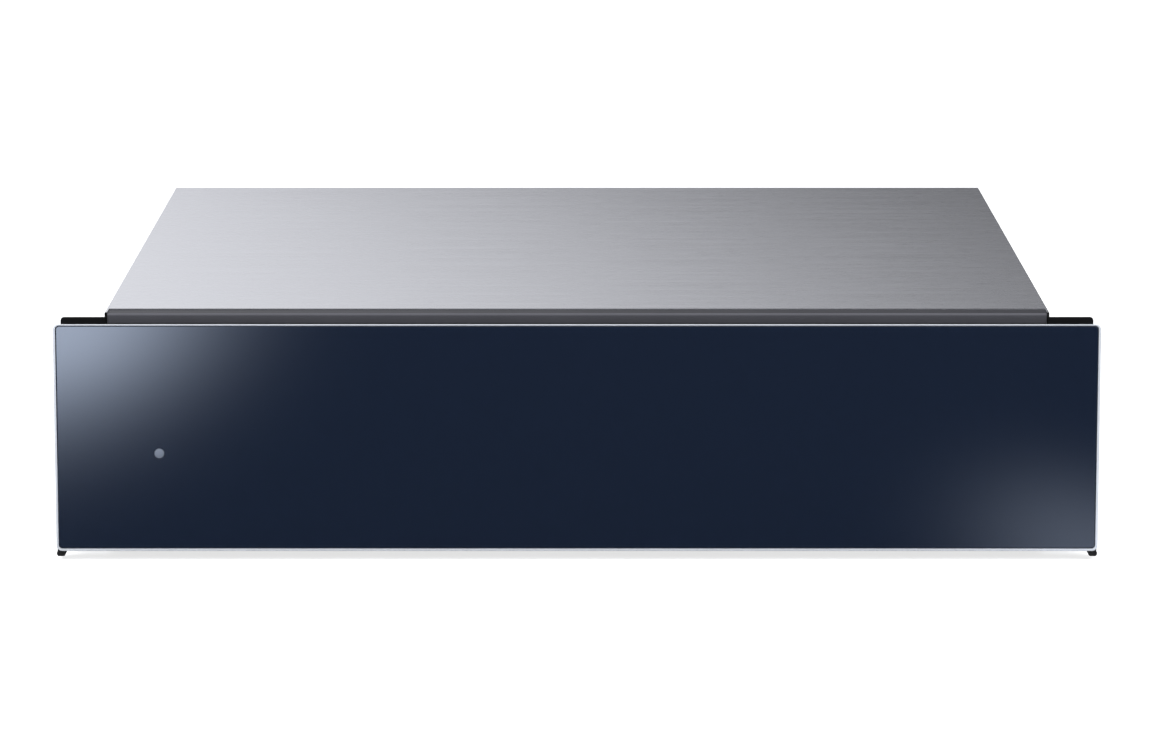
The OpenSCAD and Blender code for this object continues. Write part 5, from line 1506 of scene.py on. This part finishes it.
def studio_world(room_light):
    """Surroundings: white to the camera, a pale dome in gloss, and even light otherwise."""
    world = bpy.data.worlds.new("Studio")
    world.use_nodes = True
    world.node_tree.nodes.clear()
    add = partial(add_node, world.node_tree)
    ray = add("ShaderNodeLightPath").outputs
    room = add("ShaderNodeBackground", Color=(0.95, 0.97, 1.0, 1.0), Strength=room_light)
    white = add("ShaderNodeBackground", Color=(1, 1, 1, 1), Strength=1.0)
    way = add("ShaderNodeTexCoord").outputs["Generated"]
    split = add("ShaderNodeSeparateXYZ", Vector=way)
    dome = add("ShaderNodeMapRange", Value=split.outputs["Z"], From_Max=0.9, To_Min=0.52,
               To_Max=0.95)
    mirrored = add("ShaderNodeBackground", Color=(0.965, 0.975, 1.0, 1.0), Strength=dome)
    dim = add("ShaderNodeMixShader", at0=ray["Is Glossy Ray"], at1=room, at2=mirrored)
    seen = add("ShaderNodeMixShader", at0=ray["Is Camera Ray"], at1=dim, at2=white)
    add("ShaderNodeOutputWorld", Surface=seen)
    return world


def photo_camera():
    """The photograph's camera: 3.1 m in front of the drawer, looking down by about 10 degrees."""
    data = bpy.data.cameras.new("photo_camera")
    data.lens = 158.94
    data.sensor_width = 36.0
    data.sensor_fit = "HORIZONTAL"
    data.clip_start, data.clip_end = 0.05, 60.0
    camera = link_object("photo_camera", data)
    camera.location = (0.0006, -3.1323, 0.6050)
    camera.rotation_euler = (math.radians(80.167), 0.0, 0.0)
    return camera


class WD_OT_stage(bpy.types.Operator):
    """White floor, soft lamps, reflector cards, the white surroundings and the camera"""
    bl_idname = "warming_drawer.stage"
    bl_label = "Studio"

    def execute(self, context):
        s = context.scene.warming_drawer
        far, under = 9.0, -0.0004
        stage_sheet("paper_floor", [(-far, -far, under), (far, -far, under), (far, far, under),
                                    (-far, far, under)], floor_paper())
        # stands behind the object: bright on the left, so the lid goes from light to dark
        wide, behind, foot, head = 3.0, 1.5, 0.12, 2.6
        stops = ((-1.2, 1.25), (-0.45, 1.25), (-0.37, 1.23), (-0.3, 1.21), (-0.2, 1.19),
                 (-0.1, 1.16), (0.0, 1.13), (0.1, 1.05), (0.2, 1.00), (0.3, 0.92), (0.37, 0.86),
                 (0.6, 0.62), (1.2, 0.45))
        reflector("back_reflector", [(-wide, behind, foot), (wide, behind, foot),
                                     (wide, behind, head), (-wide, behind, head)],
                  fading_card("back_glow", stops, 1.3, (0.49, 0.52, 0.19),
                              (0.965, 0.97, 1.0, 1.0)))
        # lies on the floor in front: two soft glows that the glass mirrors in its corners
        wide, near, front, above = 1.5, -0.285, -2.2, 0.001
        spots = (((-0.378, -1.083, above), (0.092, 0.38, 1.0), 5.45),
                 ((0.297, -0.275, above), (0.062, 0.235, 1.0), 1.10))
        reflector("front_reflector", [(-wide, front, above), (wide, front, above),
                                      (wide, near, above), (-wide, near, above)],
                  glow_card("front_glow", spots, 0.012, (0.71, 0.81, 1.0, 1.0)))
        target = (0, 0, 0.05)
        soft_lamp("key_lamp", (-1.5, -1.5, 2.3), target, (1.6, 1.2), s.key_power,
                  (1, 0.99, 0.98))
        soft_lamp("fill_lamp", (1.8, -1.6, 1.5), target, (1.4, 1.4), s.fill_power,
                  (0.97, 0.985, 1))
        context.scene.world = studio_world(s.room_light)
        context.scene.view_settings.view_transform = "Standard"
        context.scene.camera = photo_camera()
        return {"FINISHED"}


# ---------------------------------------------------------------- add-on

class WD_PT_panel(bpy.types.Panel):
    """Lists the pieces and their settings"""
    bl_idname = "WD_PT_panel"
    bl_label = "Warming Drawer"
    bl_space_type = "VIEW_3D"
    bl_region_type = "UI"
    bl_category = "Warming Drawer"

    def draw(self, context):
        layout = self.layout
        for name in WarmingDrawerSettings.__annotations__:
            layout.prop(context.scene.warming_drawer, name)
        for operator in OPERATORS:
            layout.operator(operator.bl_idname)


OPERATORS = (WD_OT_stage, WD_OT_front, WD_OT_casing, WD_OT_fasteners, WD_OT_mains_and_latch,
             WD_OT_slides, WD_OT_drawer_box, WD_OT_controls, WD_OT_heating)
CLASSES = (WarmingDrawerSettings, *OPERATORS, WD_PT_panel)


def register():
    """Adds the classes and the settings."""
    for item in CLASSES:
        bpy.utils.register_class(item)
    bpy.types.Scene.warming_drawer = bpy.props.PointerProperty(type=WarmingDrawerSettings)


def unregister():
    """Takes the classes and the settings away again."""
    del bpy.types.Scene.warming_drawer
    for item in reversed(CLASSES):
        bpy.utils.unregister_class(item)


def main():
    """Builds every piece in order."""
    register()
    bpy.ops.warming_drawer.stage()
    bpy.ops.warming_drawer.front()
    bpy.ops.warming_drawer.casing()
    bpy.ops.warming_drawer.fasteners()
    bpy.ops.warming_drawer.mains_and_latch()
    bpy.ops.warming_drawer.slides()
    bpy.ops.warming_drawer.drawer_box()
    bpy.ops.warming_drawer.controls()
    bpy.ops.warming_drawer.heating()


if __name__ == "__main__":
    main()
